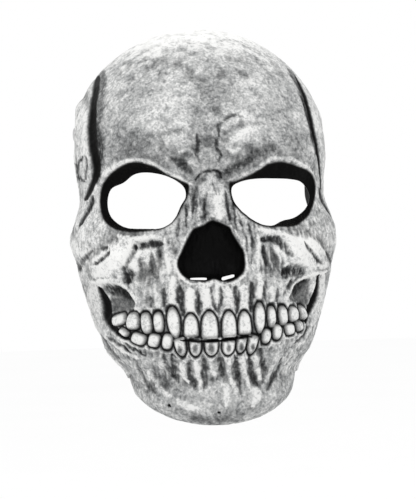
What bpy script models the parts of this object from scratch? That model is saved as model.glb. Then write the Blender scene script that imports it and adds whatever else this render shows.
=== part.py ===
"""Latex skull mask with its adjustable head strap.

Metres, +Z up, the face towards -Y. Z = 0 is the height of the eye holes and
Y = 0 is close to the plane of the strap rivets, just in front of the ears.
"""
import math

import bmesh
import bpy
import numpy as np
from mathutils import Matrix, Vector

MM = 0.001
GAP = 0.3 * MM                  # clearance left between pieces that touch

# Driving dimensions
MASK_HEIGHT = 265.5 * MM        # from the crown to the chin
UNIT = MASK_HEIGHT / 265.5      # one unit of the sculpture's tables below
SKIN = 2.5 * MM                 # latex thickness
ANCHOR_X = 82.3 * UNIT          # outside of the skin at the rivets
ANCHOR_Y = -1.0 * UNIT
ANCHOR_Z = 50.0 * UNIT
ANCHOR_FLAT = 16.0 * MM         # radius of the flat spot round each rivet
ANCHOR_BLEND = 26.0 * MM        # radius where the flat spot has faded out
STRAP_WIDTH = 20.0 * MM
STRAP_THICK = 1.2 * MM
TAB_THICK = 1.0 * MM
PATCH_THICK = 0.8 * MM
PATCH_RADIUS = 12.0 * MM
FLANGE_THICK = 1.0 * MM
RIVET_RADIUS = 5.0 * MM
POST_RADIUS = 1.6 * MM
WIRE_RADIUS = 1.1 * MM
STRAP_REAR_Y = 100.0 * MM       # inner face of the strap behind the head
STRAP_SLANT = math.radians(14)  # how far each side leans in towards the back
STRAP_CORNER = 36.0 * MM

# The face in sections from the crown down to the chin, in units:
# place along the face; midline Y, Z; widest point X, Y, Z; rear rim X, Y, Z; squareness of the section
STATIONS = (
    (0.00, 12, 117.5, 79.5, 12, 66, 79.0, 16, 62, 2.0),        # crown rim
    (0.06, -18, 118.5, 82.0, 4, 60, 80.5, 16, 57, 2.0),        # crown
    (0.16, -58, 104.0, 84.0, -8, 55, 81.5, 16, 53, 2.1),       # high forehead
    (0.28, -87, 71.0, 85.0, -16, 46, 82.0, 15, 46, 2.25),      # forehead
    (0.40, -103, 30.0, 84.5, -22, 28, 80.0, 12, 29, 2.5),      # brow
    (0.49, -97, 2.0, 82.5, -24, 4, 78.5, 8, 5, 2.5),           # eyes
    (0.58, -106, -26.0, 89.5, -26, -22, 83.0, 4, -20, 2.35),   # cheekbones
    (0.66, -107, -54.0, 84.0, -30, -50, 79.0, 0, -48, 2.4),    # foot of the nose
    (0.76, -111, -86.0, 74.5, -36, -80, 71.5, -10, -77, 2.4),  # upper teeth
    (0.81, -107, -101.0, 68.5, -42, -96, 66.0, -18, -92, 2.4),  # lower teeth
    (0.86, -102, -116.0, 56.5, -50, -111, 55.0, -30, -106, 2.4),  # jaw
    (0.92, -105, -133.0, 51.5, -58, -126, 50.0, -42, -121, 2.4),  # chin
    (0.97, -97, -145.5, 37.0, -62, -136.5, 36.0, -50, -131, 2.1),  # under the chin
    (1.00, -78, -147.0, 25.0, -60, -138.5, 25.0, -52, -135, 2.0),  # chin rim
)
FRONT_SHARE = 0.8               # share of each half section that lies in front of the widest point
HEIGHT_POWER = 1.25             # how fast a section drops from the midline to its side
SKIN_COLUMNS = 38
SKIN_ROWS = 40

# Hollows and ridges of the skull, in front view: centre X, Z; radii X, Z; tilt in degrees; height. Units
FORMS = (
    (-44, 4, 31, 24, 3, -7.5),      # eye sockets
    (41, 3, 33, 22, -4, -7.5),
    (-3, -36, 23, 21, 0, -8.0),     # nose pocket
    (-63, -62, 13, 17, -20, -3.0),  # hollows under the cheekbones
    (61, -60, 13, 17, 20, -3.0),
    (-74, 50, 3.5, 40, 4, -2.0),    # grooves behind the forehead
    (71, 48, 3.5, 36, 10, -2.0),
    (-3, -84, 62, 17, 0, 1.5),      # rows of teeth
)

# Outlines cut through the skin, in front view X, Z, in units, joined by smooth curves
LEFT_EYE_HOLE = (
    (-17.5, 3), (-19.3, 10), (-29, 16.3), (-41, 19.4), (-50, 18.8), (-57, 13.8), (-65, 9.8), (-67.4, 0),
    (-65, -9.2), (-57, -15.6), (-46, -17), (-34, -16.8), (-26, -12), (-21, -3),
)
RIGHT_EYE_HOLE = (
    (12.6, 7.4), (18, 11.3), (29, 13.2), (41, 13.2), (53, 12.5), (60.5, 10), (65.3, 1.4), (62, -6),
    (54, -12), (45, -14.9), (38, -17.6), (30, -16.2), (21, -10.2), (14, -1.5),
)
# Nostril slits: centre X, Z; length, height, in units; tilt in degrees
NOSTRIL_SLITS = ((-12, -50.2, 11.5, 1.8, -2), (7.2, -49.9, 9.5, 2.4, 8))

# Adjustable side of the strap, on the wearer's right (-X): distances along the strap from its bend behind
# the rivet, and heights out from the middle of the ring
BEND_Y = 11.0 * MM
RING_FRONT = 8.0 * MM
RING_REAR = 16.0 * MM
RETURN_START = 17.2 * MM
SLIDER_AT = 53.0 * MM
END_START = SLIDER_AT - 9.0 * MM
LAYER = STRAP_THICK + GAP
RUN_HEIGHT = -(WIRE_RADIUS + GAP + STRAP_THICK / 2)   # middle of the main run
TURN_RADIUS = WIRE_RADIUS + GAP + STRAP_THICK / 2
BAR_RADIUS = 0.7 * MM
BAR_TURN = BAR_RADIUS + GAP + STRAP_THICK / 2
BAR_HEIGHT = RUN_HEIGHT + LAYER + BAR_TURN            # middle of the slider's centre bar
RETURN_HEIGHT = BAR_HEIGHT + BAR_TURN                 # middle of the doubled layer at the slider
OUTER_BAR_HEIGHT = RUN_HEIGHT - STRAP_THICK / 2 - GAP - BAR_RADIUS
OUTER_BAR_REACH = 5.8 * MM


def clear_scene():
    for thing in list(bpy.data.objects):
        bpy.data.objects.remove(thing, do_unlink=True)


def make_material(name, colour, roughness, metallic=0.0):
    material = bpy.data.materials.new(name)
    material.use_nodes = True
    shader = material.node_tree.nodes["Principled BSDF"]
    shader.inputs["Base Color"].default_value = (*colour, 1.0)
    shader.inputs["Roughness"].default_value = roughness
    shader.inputs["Metallic"].default_value = metallic
    return material


def add_object(name, data, colour, roughness, metallic=0.0):
    thing = bpy.data.objects.new(name, data)
    bpy.context.collection.objects.link(thing)
    data.materials.append(make_material(name, colour, roughness, metallic))
    return thing


def add_mesh(name, vertices, faces, colour, roughness, metallic=0.0):
    mesh = bpy.data.meshes.new(name)
    mesh.from_pydata([tuple(v) for v in vertices], [], [tuple(f) for f in faces])
    mesh.validate()
    return add_object(name, mesh, colour, roughness, metallic)


def face_outwards(thing):
    shape = bmesh.new()
    shape.from_mesh(thing.data)
    bmesh.ops.recalc_face_normals(shape, faces=shape.faces)
    shape.to_mesh(thing.data)
    shape.free()


def cut(thing, cutter, operation="DIFFERENCE"):
    """Cut one object with another, which stays in the file as a hidden guide."""
    modifier = thing.modifiers.new(cutter.name, "BOOLEAN")
    modifier.operation = operation
    modifier.object = cutter
    cutter.hide_render = True
    cutter.display_type = "WIRE"


def curve_through(stations, values):
    """A curve through values at rising stations that never overshoots them."""
    step = np.diff(stations)
    slope = np.diff(values) / step
    tangent = np.empty(len(stations))
    tangent[0], tangent[-1] = slope[0], slope[-1]
    for i in range(1, len(step)):
        before, after = slope[i - 1], slope[i]
        near, far = 2 * step[i] + step[i - 1], step[i] + 2 * step[i - 1]
        tangent[i] = (near + far) / (near / before + far / after) if before * after > 0 else 0.0

    def value(place):
        i = np.clip(np.searchsorted(stations, place) - 1, 0, len(step) - 1)
        t = (place - stations[i]) / step[i]
        rise = values[i] + (values[i + 1] - values[i]) * t * t * (3 - 2 * t)
        return rise + t * (1 - t) * step[i] * ((1 - t) * tangent[i] - t * tangent[i + 1])

    return value


def closed_curve(points, per_span=3):
    """Points along a smooth closed curve through the given ones."""
    points = [Vector(p) for p in points]
    count = len(points)
    result = []
    for i in range(count):
        a, b, c, d = (points[(i + k) % count] for k in (-1, 0, 1, 2))
        for step in range(per_span):
            t = step / per_span
            result.append(0.5 * (2 * b + (c - a) * t + (2 * a - 5 * b + 4 * c - d) * t * t
                                 + (3 * b - a - 3 * c + d) * t ** 3))
    return result


def base_surface(across, along):
    """Outside of the plain head form. across runs -1..1 from rim to rim, along 0..1 from crown to chin."""
    table = np.array(STATIONS)
    curves = [curve_through(table[:, 0], table[:, k]) for k in range(1, 10)]
    mid_y, mid_z, side_x, side_y, side_z, rim_x, rim_y, rim_z, square = [c(along) for c in curves]
    reach = np.abs(across)
    turn = np.clip(reach / FRONT_SHARE, 0, 1) * math.pi / 2
    behind = np.clip((reach - FRONT_SHARE) / (1 - FRONT_SHARE), 0, 1)
    x = side_x * np.sin(turn) ** (2 / square) + (rim_x - side_x) * behind ** 2
    y = side_y + (mid_y - side_y) * np.cos(turn) ** (2 / square) + (rim_y - side_y) * behind
    z = side_z + (mid_z - side_z) * np.cos(turn) ** HEIGHT_POWER + (rim_z - side_z) * behind
    place = np.stack([x, y, z], axis=-1) * UNIT
    distance = np.hypot(place[..., 1] - ANCHOR_Y, place[..., 2] - ANCHOR_Z)
    fade = np.clip((distance - ANCHOR_FLAT) / (ANCHOR_BLEND - ANCHOR_FLAT), 0, 1)
    near = (1 - fade * fade * (3 - 2 * fade)) * (reach > 0.5)
    place[..., 0] += (ANCHOR_X - place[..., 0]) * near
    place[..., 0] *= np.sign(across)
    return place, near


def surface_normals(place):
    along = np.gradient(place, axis=0)
    across = np.gradient(place, axis=1)
    normal = np.cross(along, across)
    normal /= np.linalg.norm(normal, axis=-1, keepdims=True)
    return normal * np.sign((normal * place).sum(axis=-1, keepdims=True))


def relief(place):
    """Height of the skull's forms over the plain head, in metres."""
    height = np.zeros(place.shape[:-1])
    x, z = place[..., 0] / UNIT, place[..., 2] / UNIT
    for centre_x, centre_z, radius_x, radius_z, tilt, size in FORMS:
        c, s = math.cos(math.radians(tilt)), math.sin(math.radians(tilt))
        u = ((x - centre_x) * c + (z - centre_z) * s) / radius_x
        v = ((z - centre_z) * c - (x - centre_x) * s) / radius_z
        fall = np.clip(1.35 - np.hypot(u, v), 0, 0.7) / 0.7
        height += size * UNIT * fall * fall * (3 - 2 * fall)
    return height


def grid_faces(rows, columns, start):
    for row in range(rows):
        for column in range(columns):
            corner = start + row * (columns + 1) + column
            yield corner, corner + 1, corner + columns + 2, corner + columns + 1


def make_face_skin():
    across, along = np.meshgrid(np.linspace(-1, 1, SKIN_COLUMNS + 1), np.linspace(0, 1, SKIN_ROWS + 1))
    place, near = base_surface(across, along)
    normal = surface_normals(place)
    flat = np.stack([np.sign(across), 0 * across, 0 * across], axis=-1)
    normal = normal * (1 - near[..., None]) + flat * near[..., None]
    normal /= np.linalg.norm(normal, axis=-1, keepdims=True)
    outside = place + normal * (relief(place) * (1 - near))[..., None]
    inside = outside - normal * SKIN
    count = across.size
    faces = list(grid_faces(SKIN_ROWS, SKIN_COLUMNS, 0))
    faces += [tuple(reversed([corner + count for corner in face])) for face in faces]
    line = SKIN_COLUMNS + 1
    top = list(range(line))
    bottom = [SKIN_ROWS * line + i for i in range(line)]
    left = [i * line for i in range(SKIN_ROWS + 1)]
    right = [i * line + SKIN_COLUMNS for i in range(SKIN_ROWS + 1)]
    for edge in (top, bottom, left, right):
        faces += [(a, b, b + count, a + count) for a, b in zip(edge, edge[1:])]
    vertices = np.concatenate([outside.reshape(-1, 3), inside.reshape(-1, 3)])
    skin = add_mesh("face_skin", vertices, faces, (0.62, 0.62, 0.60), 0.55)
    face_outwards(skin)
    cut(skin, make_hole_cutter("left_eye_cutter", LEFT_EYE_HOLE))
    cut(skin, make_hole_cutter("right_eye_cutter", RIGHT_EYE_HOLE))
    for index, (x, z, length, height, tilt) in enumerate(NOSTRIL_SLITS):
        cut(skin, make_slit_cutter(f"slit_cutter_{index}", x, z, length, height, tilt))
    for side in (-1, 1):
        hole = make_disc("skin_hole_cutter", side, POST_RADIUS + GAP, ANCHOR_X - 8 * MM, ANCHOR_X + 8 * MM)
        cut(skin, hole)
    skin.data.shade_smooth()
    return skin


def make_prism(name, outline, low, high, colour=(0.5, 0.5, 0.5), roughness=0.5, metallic=0.0, axis="Z"):
    """Extrude a closed outline of (a, b) points along one axis, from low to high."""
    place = "XYZ".index(axis)
    count = len(outline)
    vertices = []
    for level in (low, high):
        for point in outline:
            corner = list(point[:2])
            corner.insert(place, level)
            vertices.append(corner)
    faces = [tuple(range(count)), tuple(range(2 * count - 1, count - 1, -1))]
    faces += [(i, (i + 1) % count, (i + 1) % count + count, i + count) for i in range(count)]
    prism = add_mesh(name, vertices, faces, colour, roughness, metallic)
    face_outwards(prism)
    return prism


def make_hole_cutter(name, outline):
    points = [(p[0] * UNIT, p[1] * UNIT) for p in closed_curve(outline)]
    return make_prism(name, points, -140 * UNIT, -20 * UNIT, axis="Y")


def make_slit_cutter(name, x, z, length, height, tilt):
    turn = Matrix.Rotation(math.radians(tilt), 2)
    corners = [Vector((a * length / 2, b * height / 2)) for a, b in ((-1, -1), (1, -1), (1, 1), (-1, 1))]
    outline = [(turn @ corner + Vector((x, z))) * UNIT for corner in corners]
    return make_prism(name, outline, -140 * UNIT, -60 * UNIT, axis="Y")


def circle(radius, centre, count=24):
    turns = [2 * math.pi * i / count for i in range(count)]
    return [(centre[0] + radius * math.cos(t), centre[1] + radius * math.sin(t)) for t in turns]


def make_disc(name, side, radius, near, far, colour=(0.5, 0.5, 0.5), roughness=0.5, metallic=0.0, count=24):
    """A disc on the rivet axis, from distance near to far from the middle of the mask."""
    outline = circle(radius, (ANCHOR_Y, ANCHOR_Z), count)
    low, high = sorted((side * near, side * far))
    return make_prism(name, outline, low, high, colour, roughness, metallic, axis="X")


def turn_profile(name, profile, side, colour, roughness, metallic, steps=24):
    """Turn (radius, distance from the middle) points about the rivet axis."""
    vertices, rings = [], []
    for radius, distance in profile:
        if radius == 0:
            rings.append([len(vertices)] * steps)
            vertices.append((side * distance, ANCHOR_Y, ANCHOR_Z))
            continue
        rings.append([len(vertices) + i for i in range(steps)])
        for y, z in circle(radius, (ANCHOR_Y, ANCHOR_Z), steps):
            vertices.append((side * distance, y, z))
    faces = []
    for first, second in zip(rings, rings[1:]):
        for i in range(steps):
            j = (i + 1) % steps
            corners = [first[i], first[j], second[j], second[i]]
            faces.append([c for k, c in enumerate(corners) if c not in corners[:k]])
    piece = add_mesh(name, vertices, faces, colour, roughness, metallic)
    face_outwards(piece)
    piece.data.shade_smooth()
    piece.data.set_sharp_from_angle(angle=math.radians(35))
    return piece


def make_anchor(side, name, stack):
    """Patch, cap and post of one rivet. stack is the thickness of the webbing under the patch."""
    patch_out = ANCHOR_X - SKIN - GAP
    patch_in = patch_out - PATCH_THICK
    webbing_in = patch_in - GAP - stack
    flange_out = webbing_in - GAP
    patch = make_disc(f"anchor_patch_{name}", side, PATCH_RADIUS, patch_in, patch_out, (0.05, 0.05, 0.05), 0.9)
    hole = make_disc("patch_hole_cutter", side, POST_RADIUS + GAP, patch_in - MM, patch_out + MM)
    cut(patch, hole)
    bore = POST_RADIUS + GAP
    base = ANCHOR_X + GAP
    dome = [(RIVET_RADIUS * math.cos(a), base + 0.6 * MM + 1.6 * MM * math.sin(a))
            for a in [math.radians(15 * i) for i in range(6)]]
    cap = [(0, base + 1.2 * MM), (bore, base + 1.2 * MM), (bore, base), (RIVET_RADIUS, base)]
    cap += dome + [(0, base + 2.2 * MM)]
    turn_profile(f"rivet_cap_{name}", cap, side, (0.30, 0.30, 0.31), 0.35, 1.0)
    post = [(0, flange_out - FLANGE_THICK), (RIVET_RADIUS - 0.4 * MM, flange_out - FLANGE_THICK),
            (RIVET_RADIUS, flange_out - 0.6 * MM), (RIVET_RADIUS, flange_out), (POST_RADIUS, flange_out),
            (POST_RADIUS, base + 0.9 * MM), (0, base + 0.9 * MM)]
    turn_profile(f"rivet_post_{name}", post, side, (0.30, 0.30, 0.31), 0.35, 1.0)
    return webbing_in


def ribbon_outline(path, thickness):
    """The closed outline of a strip of even thickness along an open path of 2-D points."""
    path = [Vector(p) for p in path]
    left, right = [], []
    for i, point in enumerate(path):
        before = (point - path[i - 1]).normalized() if i else (path[1] - point).normalized()
        after = (path[i + 1] - point).normalized() if i + 1 < len(path) else before
        normal = Vector((-(before + after).y, (before + after).x)).normalized()
        reach = thickness / 2 / max(normal.dot(Vector((-before.y, before.x))), 0.5)
        left.append(point + normal * reach)
        right.append(point - normal * reach)
    return left + right[::-1]


def make_ribbon(name, path, thickness, width, colour, roughness):
    outline = ribbon_outline(path, thickness)
    return make_prism(name, outline, ANCHOR_Z - width / 2, ANCHOR_Z + width / 2, colour, roughness)


def arc(centre, radius, start, end, count):
    turns = [math.radians(start + (end - start) * i / count) for i in range(count + 1)]
    return [(centre[0] + radius * math.cos(t), centre[1] + radius * math.sin(t)) for t in turns]


class StrapFrame:
    """Places on the adjustable side: along the strap, out from the ring's middle, up from the strap's."""

    def __init__(self, middle_x):
        self.start = Vector((-middle_x, BEND_Y))
        self.along = Vector((math.sin(STRAP_SLANT), math.cos(STRAP_SLANT)))
        self.out = Vector((-math.cos(STRAP_SLANT), math.sin(STRAP_SLANT)))

    def at(self, along, out):
        return self.start + self.along * along + self.out * out

    def place(self, along, out, up):
        flat = self.at(along, out)
        return Vector((flat.x, flat.y, ANCHOR_Z + up))

    def turn(self, along, out, radius, start, end, count):
        """Arc about a point: 0 degrees points along the strap, 90 outwards."""
        return [self.at(along + a, out + b) for a, b in arc((0, 0), radius, start, end, count)]


def slanted_side(start, side):
    """Straight side from a start point and the corner behind the head, which ends square to it."""
    corner_y = STRAP_REAR_Y + STRAP_THICK / 2 - STRAP_CORNER
    lean = STRAP_CORNER * math.sin(STRAP_SLANT)
    run = (corner_y + lean - start.y) / math.cos(STRAP_SLANT)
    end = start + Vector((-side * math.sin(STRAP_SLANT), math.cos(STRAP_SLANT))) * run
    centre = end - Vector((side * math.cos(STRAP_SLANT), math.sin(STRAP_SLANT))) * STRAP_CORNER
    return [(centre.x + side * x, centre.y + y)
            for x, y in arc((0, 0), STRAP_CORNER, math.degrees(STRAP_SLANT), 90, 10)]


def make_head_strap(frame, right_x):
    right_bend = Vector((right_x, BEND_Y))
    path = [(right_x, ANCHOR_Y - 9 * MM), tuple(right_bend)]
    path += slanted_side(right_bend, 1)
    path += slanted_side(frame.at(0, RUN_HEIGHT), -1)[::-1]
    path += frame.turn(RING_REAR, 0, TURN_RADIUS, 270, 90, 8)
    path.append(frame.at(RETURN_START - GAP, TURN_RADIUS))
    strap = make_ribbon("head_strap", path, STRAP_THICK, STRAP_WIDTH, (0.02, 0.02, 0.02), 0.85)
    hole = make_disc("strap_hole_cutter", 1, POST_RADIUS + GAP, ANCHOR_X - 12 * MM, ANCHOR_X)
    cut(strap, hole)
    return strap


def make_strap_return(frame):
    path = [frame.at(RETURN_START, TURN_RADIUS), frame.at(END_START - GAP, RETURN_HEIGHT)]
    make_ribbon("strap_return", path, STRAP_THICK, STRAP_WIDTH, (0.02, 0.02, 0.02), 0.85)


def make_strap_end(frame):
    """The sewn loop that holds the slider's centre bar."""
    path = [frame.at(END_START, RETURN_HEIGHT), frame.at(SLIDER_AT, RETURN_HEIGHT)]
    path += frame.turn(SLIDER_AT, BAR_HEIGHT, BAR_TURN, 90, -90, 8)[1:]
    path.append(frame.at(SLIDER_AT - 3.5 * MM, BAR_HEIGHT - BAR_TURN))
    path.append(frame.at(SLIDER_AT - 5.5 * MM, RETURN_HEIGHT - LAYER))
    path.append(frame.at(END_START, RETURN_HEIGHT - LAYER))
    make_ribbon("strap_end", path, STRAP_THICK, STRAP_WIDTH, (0.02, 0.02, 0.02), 0.85)


def make_strap_tab(frame, outer_x):
    """Webbing folded round the ring's front bar, both layers under the rivet."""
    half = (TAB_THICK + GAP) / 2
    turn = WIRE_RADIUS + GAP + TAB_THICK / 2
    front = ANCHOR_Y - 9 * MM
    path = [(-outer_x, front), (-outer_x, BEND_Y)]
    path.append(frame.at(RING_FRONT - 4.5 * MM, half))
    path += frame.turn(RING_FRONT, 0, turn, 130, -130, 12)
    path.append(frame.at(RING_FRONT - 4.5 * MM, -half))
    path += [(-outer_x + 2 * half, BEND_Y), (-outer_x + 2 * half, front)]
    tab = make_ribbon("strap_tab", path, TAB_THICK, STRAP_WIDTH, (0.03, 0.03, 0.03), 0.9)
    cut(tab, make_disc("tab_hole_cutter", -1, POST_RADIUS + GAP, ANCHOR_X - 12 * MM, ANCHOR_X))
    return tab


def make_wire(name, points, radius, closed, colour, roughness, metallic):
    curve = bpy.data.curves.new(name, "CURVE")
    curve.dimensions = "3D"
    spline = curve.splines.new("POLY")
    spline.points.add(len(points) - 1)
    for target, point in zip(spline.points, points):
        target.co = (*point, 1.0)
    spline.use_cyclic_u = closed
    curve.bevel_depth = radius
    curve.bevel_resolution = 2
    curve.use_fill_caps = True
    return add_object(name, curve, colour, roughness, metallic)


def make_strap_ring(frame):
    """Rectangular wire ring with round corners."""
    half_width = STRAP_WIDTH / 2 + 2.2 * MM
    corner = 2.6 * MM
    rear, front, top = RING_REAR - corner, RING_FRONT + corner, half_width - corner
    points = []
    for along, up, start in ((rear, top, 0), (front, top, 90), (front, -top, 180), (rear, -top, 270)):
        points += [frame.place(a, 0, u) for a, u in arc((along, up), corner, start, start + 90, 4)]
    make_wire("strap_ring", points, WIRE_RADIUS, True, (0.55, 0.55, 0.56), 0.25, 1.0)


def make_strap_slider(frame):
    """Three-bar slider: two side rails joined by a raised centre bar and two low outer bars."""
    rail_low = OUTER_BAR_HEIGHT - BAR_RADIUS
    rail_high = BAR_HEIGHT + BAR_RADIUS
    reach = OUTER_BAR_REACH + 1.4 * MM
    outline = ((-reach, rail_low), (reach, rail_low), (reach, rail_low + 1.6 * MM),
               (2 * MM, rail_high), (-2 * MM, rail_high), (-reach, rail_low + 1.6 * MM))
    inner, outer = STRAP_WIDTH / 2 + 0.6 * MM, STRAP_WIDTH / 2 + 2.6 * MM
    slider = None
    for low, high in ((inner, outer), (-outer, -inner)):
        vertices = [frame.place(SLIDER_AT + a, h, up) for up in (low, high) for a, h in outline]
        count = len(outline)
        faces = [tuple(range(count)), tuple(range(2 * count - 1, count - 1, -1))]
        faces += [(i, (i + 1) % count, (i + 1) % count + count, i + count) for i in range(count)]
        name = "strap_slider" if slider is None else "slider_rail_guide"
        rail = add_mesh(name, vertices, faces, (0.025, 0.025, 0.025), 0.4)
        face_outwards(rail)
        if slider is None:
            slider = rail
        else:
            cut(slider, rail, "UNION")
    middle = inner + 1.0 * MM
    bars = ((0, BAR_HEIGHT), (OUTER_BAR_REACH, OUTER_BAR_HEIGHT), (-OUTER_BAR_REACH, OUTER_BAR_HEIGHT))
    for index, (along, height) in enumerate(bars):
        ends = [frame.place(SLIDER_AT + along, height, up) for up in (-middle, middle)]
        bar = make_bar(f"slider_bar_guide_{index}", ends, BAR_RADIUS)
        cut(slider, bar, "UNION")


def make_bar(name, ends, radius, count=12):
    """An upright round bar between two points, one above the other."""
    low, high = sorted(ends, key=lambda end: end.z)
    outline = circle(radius, (low.x, low.y), count)
    return make_prism(name, outline, low.z, high.z)


def make_stitching(name, frame, along, height, width):
    """Bar tack across the strap, lying on its outer face."""
    corners = ((along - 0.9 * MM, height), (along + 0.9 * MM, height),
               (along + 0.9 * MM, height + 0.5 * MM), (along - 0.9 * MM, height + 0.5 * MM))
    outline = [frame.at(a, h) for a, h in corners]
    make_prism(name, outline, ANCHOR_Z - width / 2, ANCHOR_Z + width / 2, (0.12, 0.12, 0.12), 0.8)


def make_forehead_pad():
    """Foam block glued inside the brow: its back is flat, its front follows the skin."""
    half_width, low, high, rear = 31 * UNIT, 36 * UNIT, 60 * UNIT, -84 * UNIT
    across, along = np.meshgrid(np.linspace(-0.4, 0.4, 81), np.linspace(0.2, 0.5, 121))
    place, _ = base_surface(across, along)
    normal = surface_normals(place)
    inner = place + normal * (relief(place) - SKIN - 3 * GAP)[..., None]
    columns, rows = 14, 6
    front, back = [], []
    for row in range(rows + 1):
        for column in range(columns + 1):
            x = half_width * (2 * column / columns - 1)
            z = low + (high - low) * row / rows
            nearest = np.argmin((inner[..., 0] - x) ** 2 + (inner[..., 2] - z) ** 2)
            front.append((x, inner[..., 1].reshape(-1)[nearest], z))
            back.append((x, rear, z))
    count = len(front)
    faces = list(grid_faces(rows, columns, 0))
    faces += [tuple(corner + count for corner in face) for face in faces]
    line = columns + 1
    edges = ([i for i in range(line)], [rows * line + i for i in range(line)],
             [i * line for i in range(rows + 1)], [i * line + columns for i in range(rows + 1)])
    for edge in edges:
        faces += [(a, b, b + count, a + count) for a, b in zip(edge, edge[1:])]
    pad = add_mesh("forehead_pad", front + back, faces, (0.10, 0.10, 0.10), 0.95)
    face_outwards(pad)


def main():
    clear_scene()
    make_face_skin()
    make_forehead_pad()
    right_in = make_anchor(1, "right", STRAP_THICK)
    left_in = make_anchor(-1, "left", 2 * TAB_THICK + GAP)
    tab_outer = left_in + 1.5 * TAB_THICK + GAP
    frame = StrapFrame(left_in + TAB_THICK + GAP / 2)
    make_strap_tab(frame, tab_outer)
    make_strap_ring(frame)
    make_head_strap(frame, right_in + STRAP_THICK / 2)
    make_strap_return(frame)
    make_strap_end(frame)
    make_strap_slider(frame)
    half = (TAB_THICK + GAP) / 2
    make_stitching("tab_stitching", frame, 1.8 * MM, half + TAB_THICK / 2 + GAP, 15 * MM)
    top = RETURN_HEIGHT + STRAP_THICK / 2 + GAP
    make_stitching("strap_end_stitching", frame, SLIDER_AT - 6.5 * MM, top, 15 * MM)


main()
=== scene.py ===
import math

import bmesh
import bpy
import numpy as np
from mathutils import Matrix, Vector, noise


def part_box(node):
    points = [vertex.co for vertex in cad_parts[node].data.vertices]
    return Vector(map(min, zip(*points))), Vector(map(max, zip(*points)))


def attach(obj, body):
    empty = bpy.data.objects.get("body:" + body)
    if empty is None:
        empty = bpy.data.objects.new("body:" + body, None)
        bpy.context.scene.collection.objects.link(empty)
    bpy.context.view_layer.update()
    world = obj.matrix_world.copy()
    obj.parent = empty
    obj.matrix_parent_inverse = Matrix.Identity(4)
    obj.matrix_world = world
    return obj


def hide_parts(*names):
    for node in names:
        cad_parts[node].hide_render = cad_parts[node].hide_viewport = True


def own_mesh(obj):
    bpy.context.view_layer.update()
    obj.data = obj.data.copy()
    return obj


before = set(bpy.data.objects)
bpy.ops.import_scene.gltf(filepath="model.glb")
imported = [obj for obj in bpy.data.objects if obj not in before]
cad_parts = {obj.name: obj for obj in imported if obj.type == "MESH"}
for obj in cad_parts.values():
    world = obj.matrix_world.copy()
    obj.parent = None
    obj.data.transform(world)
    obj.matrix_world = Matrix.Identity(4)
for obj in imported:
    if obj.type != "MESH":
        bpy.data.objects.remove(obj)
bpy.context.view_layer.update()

MM = 0.001
SKIN_LOW, SKIN_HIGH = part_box("face_skin")
UNIT = (SKIN_HIGH.z - SKIN_LOW.z) / 265.45   # one unit of the sculpture's tables below
SKIN = 2.5 * MM

# Strap, patches and rivets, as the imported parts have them
GAP = 0.3 * MM
STRAP_WIDTH = 20.0 * MM
STRAP_THICK = 1.2 * MM
TAB_THICK = 1.0 * MM
PATCH_THICK = 0.8 * MM
PATCH_RADIUS = 12.0 * MM
POST_RADIUS = 1.6 * MM
HOLE_RADIUS = POST_RADIUS + GAP
WIRE_RADIUS = 1.1 * MM
STRAP_REAR_Y = 100.0 * MM
STRAP_SLANT = math.radians(14)
SLANT_X, SLANT_Y = math.sin(STRAP_SLANT), math.cos(STRAP_SLANT)
STRAP_CORNER = 36.0 * MM
BEND_Y = 11.0 * MM
STRAP_FRONT_Y = -10.0 * MM
RING_FRONT = 8.0 * MM
RING_REAR = 16.0 * MM
RETURN_START = 17.2 * MM
SLIDER_AT = 53.0 * MM
END_START = SLIDER_AT - 9.0 * MM
LAYER = STRAP_THICK + GAP
TURN_RADIUS = WIRE_RADIUS + GAP + STRAP_THICK / 2
RUN_HEIGHT = -TURN_RADIUS
BAR_RADIUS = 0.7 * MM
BAR_TURN = BAR_RADIUS + GAP + STRAP_THICK / 2
BAR_HEIGHT = RUN_HEIGHT + LAYER + BAR_TURN
RETURN_HEIGHT = BAR_HEIGHT + BAR_TURN

# The plain head form in sections from the crown down to the chin, in units:
# place along the face; midline Y, Z; widest point X, Y, Z; rear rim X, Y, Z; squareness of the section
STATIONS = (
    (0.00, 12, 117.5, 79.5, 12, 66, 79.0, 16, 62, 2.0),        # crown rim
    (0.06, -18, 118.5, 82.0, 4, 60, 80.5, 16, 57, 2.0),        # crown
    (0.16, -58, 104.0, 84.0, -8, 55, 81.5, 16, 53, 2.1),       # high forehead
    (0.28, -87, 71.0, 85.0, -16, 46, 82.0, 15, 46, 2.25),      # forehead
    (0.40, -103, 30.0, 84.5, -22, 28, 80.0, 12, 29, 2.5),      # brow
    (0.49, -97, 2.0, 82.5, -24, 4, 78.5, 8, 5, 2.5),           # eyes
    (0.58, -106, -26.0, 89.5, -26, -22, 83.0, 4, -20, 2.35),   # cheekbones
    (0.66, -107, -54.0, 84.0, -30, -50, 79.0, 0, -48, 2.4),    # foot of the nose
    (0.76, -111, -86.0, 74.5, -36, -80, 71.5, -10, -77, 2.4),  # upper teeth
    (0.81, -107, -101.0, 68.5, -42, -96, 66.0, -18, -92, 2.4),  # lower teeth
    (0.86, -102, -116.0, 56.5, -50, -111, 55.0, -30, -106, 2.4),  # jaw
    (0.92, -105, -133.0, 51.5, -58, -126, 50.0, -42, -121, 2.4),  # chin
    (0.97, -97, -145.5, 37.0, -62, -136.5, 36.0, -50, -131, 2.1),  # under the chin
    (1.00, -78, -147.0, 25.0, -60, -138.5, 25.0, -52, -135, 2.0),  # chin rim
)
FRONT_SHARE = 0.8
HEIGHT_POWER = 1.25
ANCHOR = Vector((82.3, -1.0, 50.0)) * UNIT
ANCHOR_FLAT = 16.0 * MM
ANCHOR_BLEND = 26.0 * MM

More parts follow.
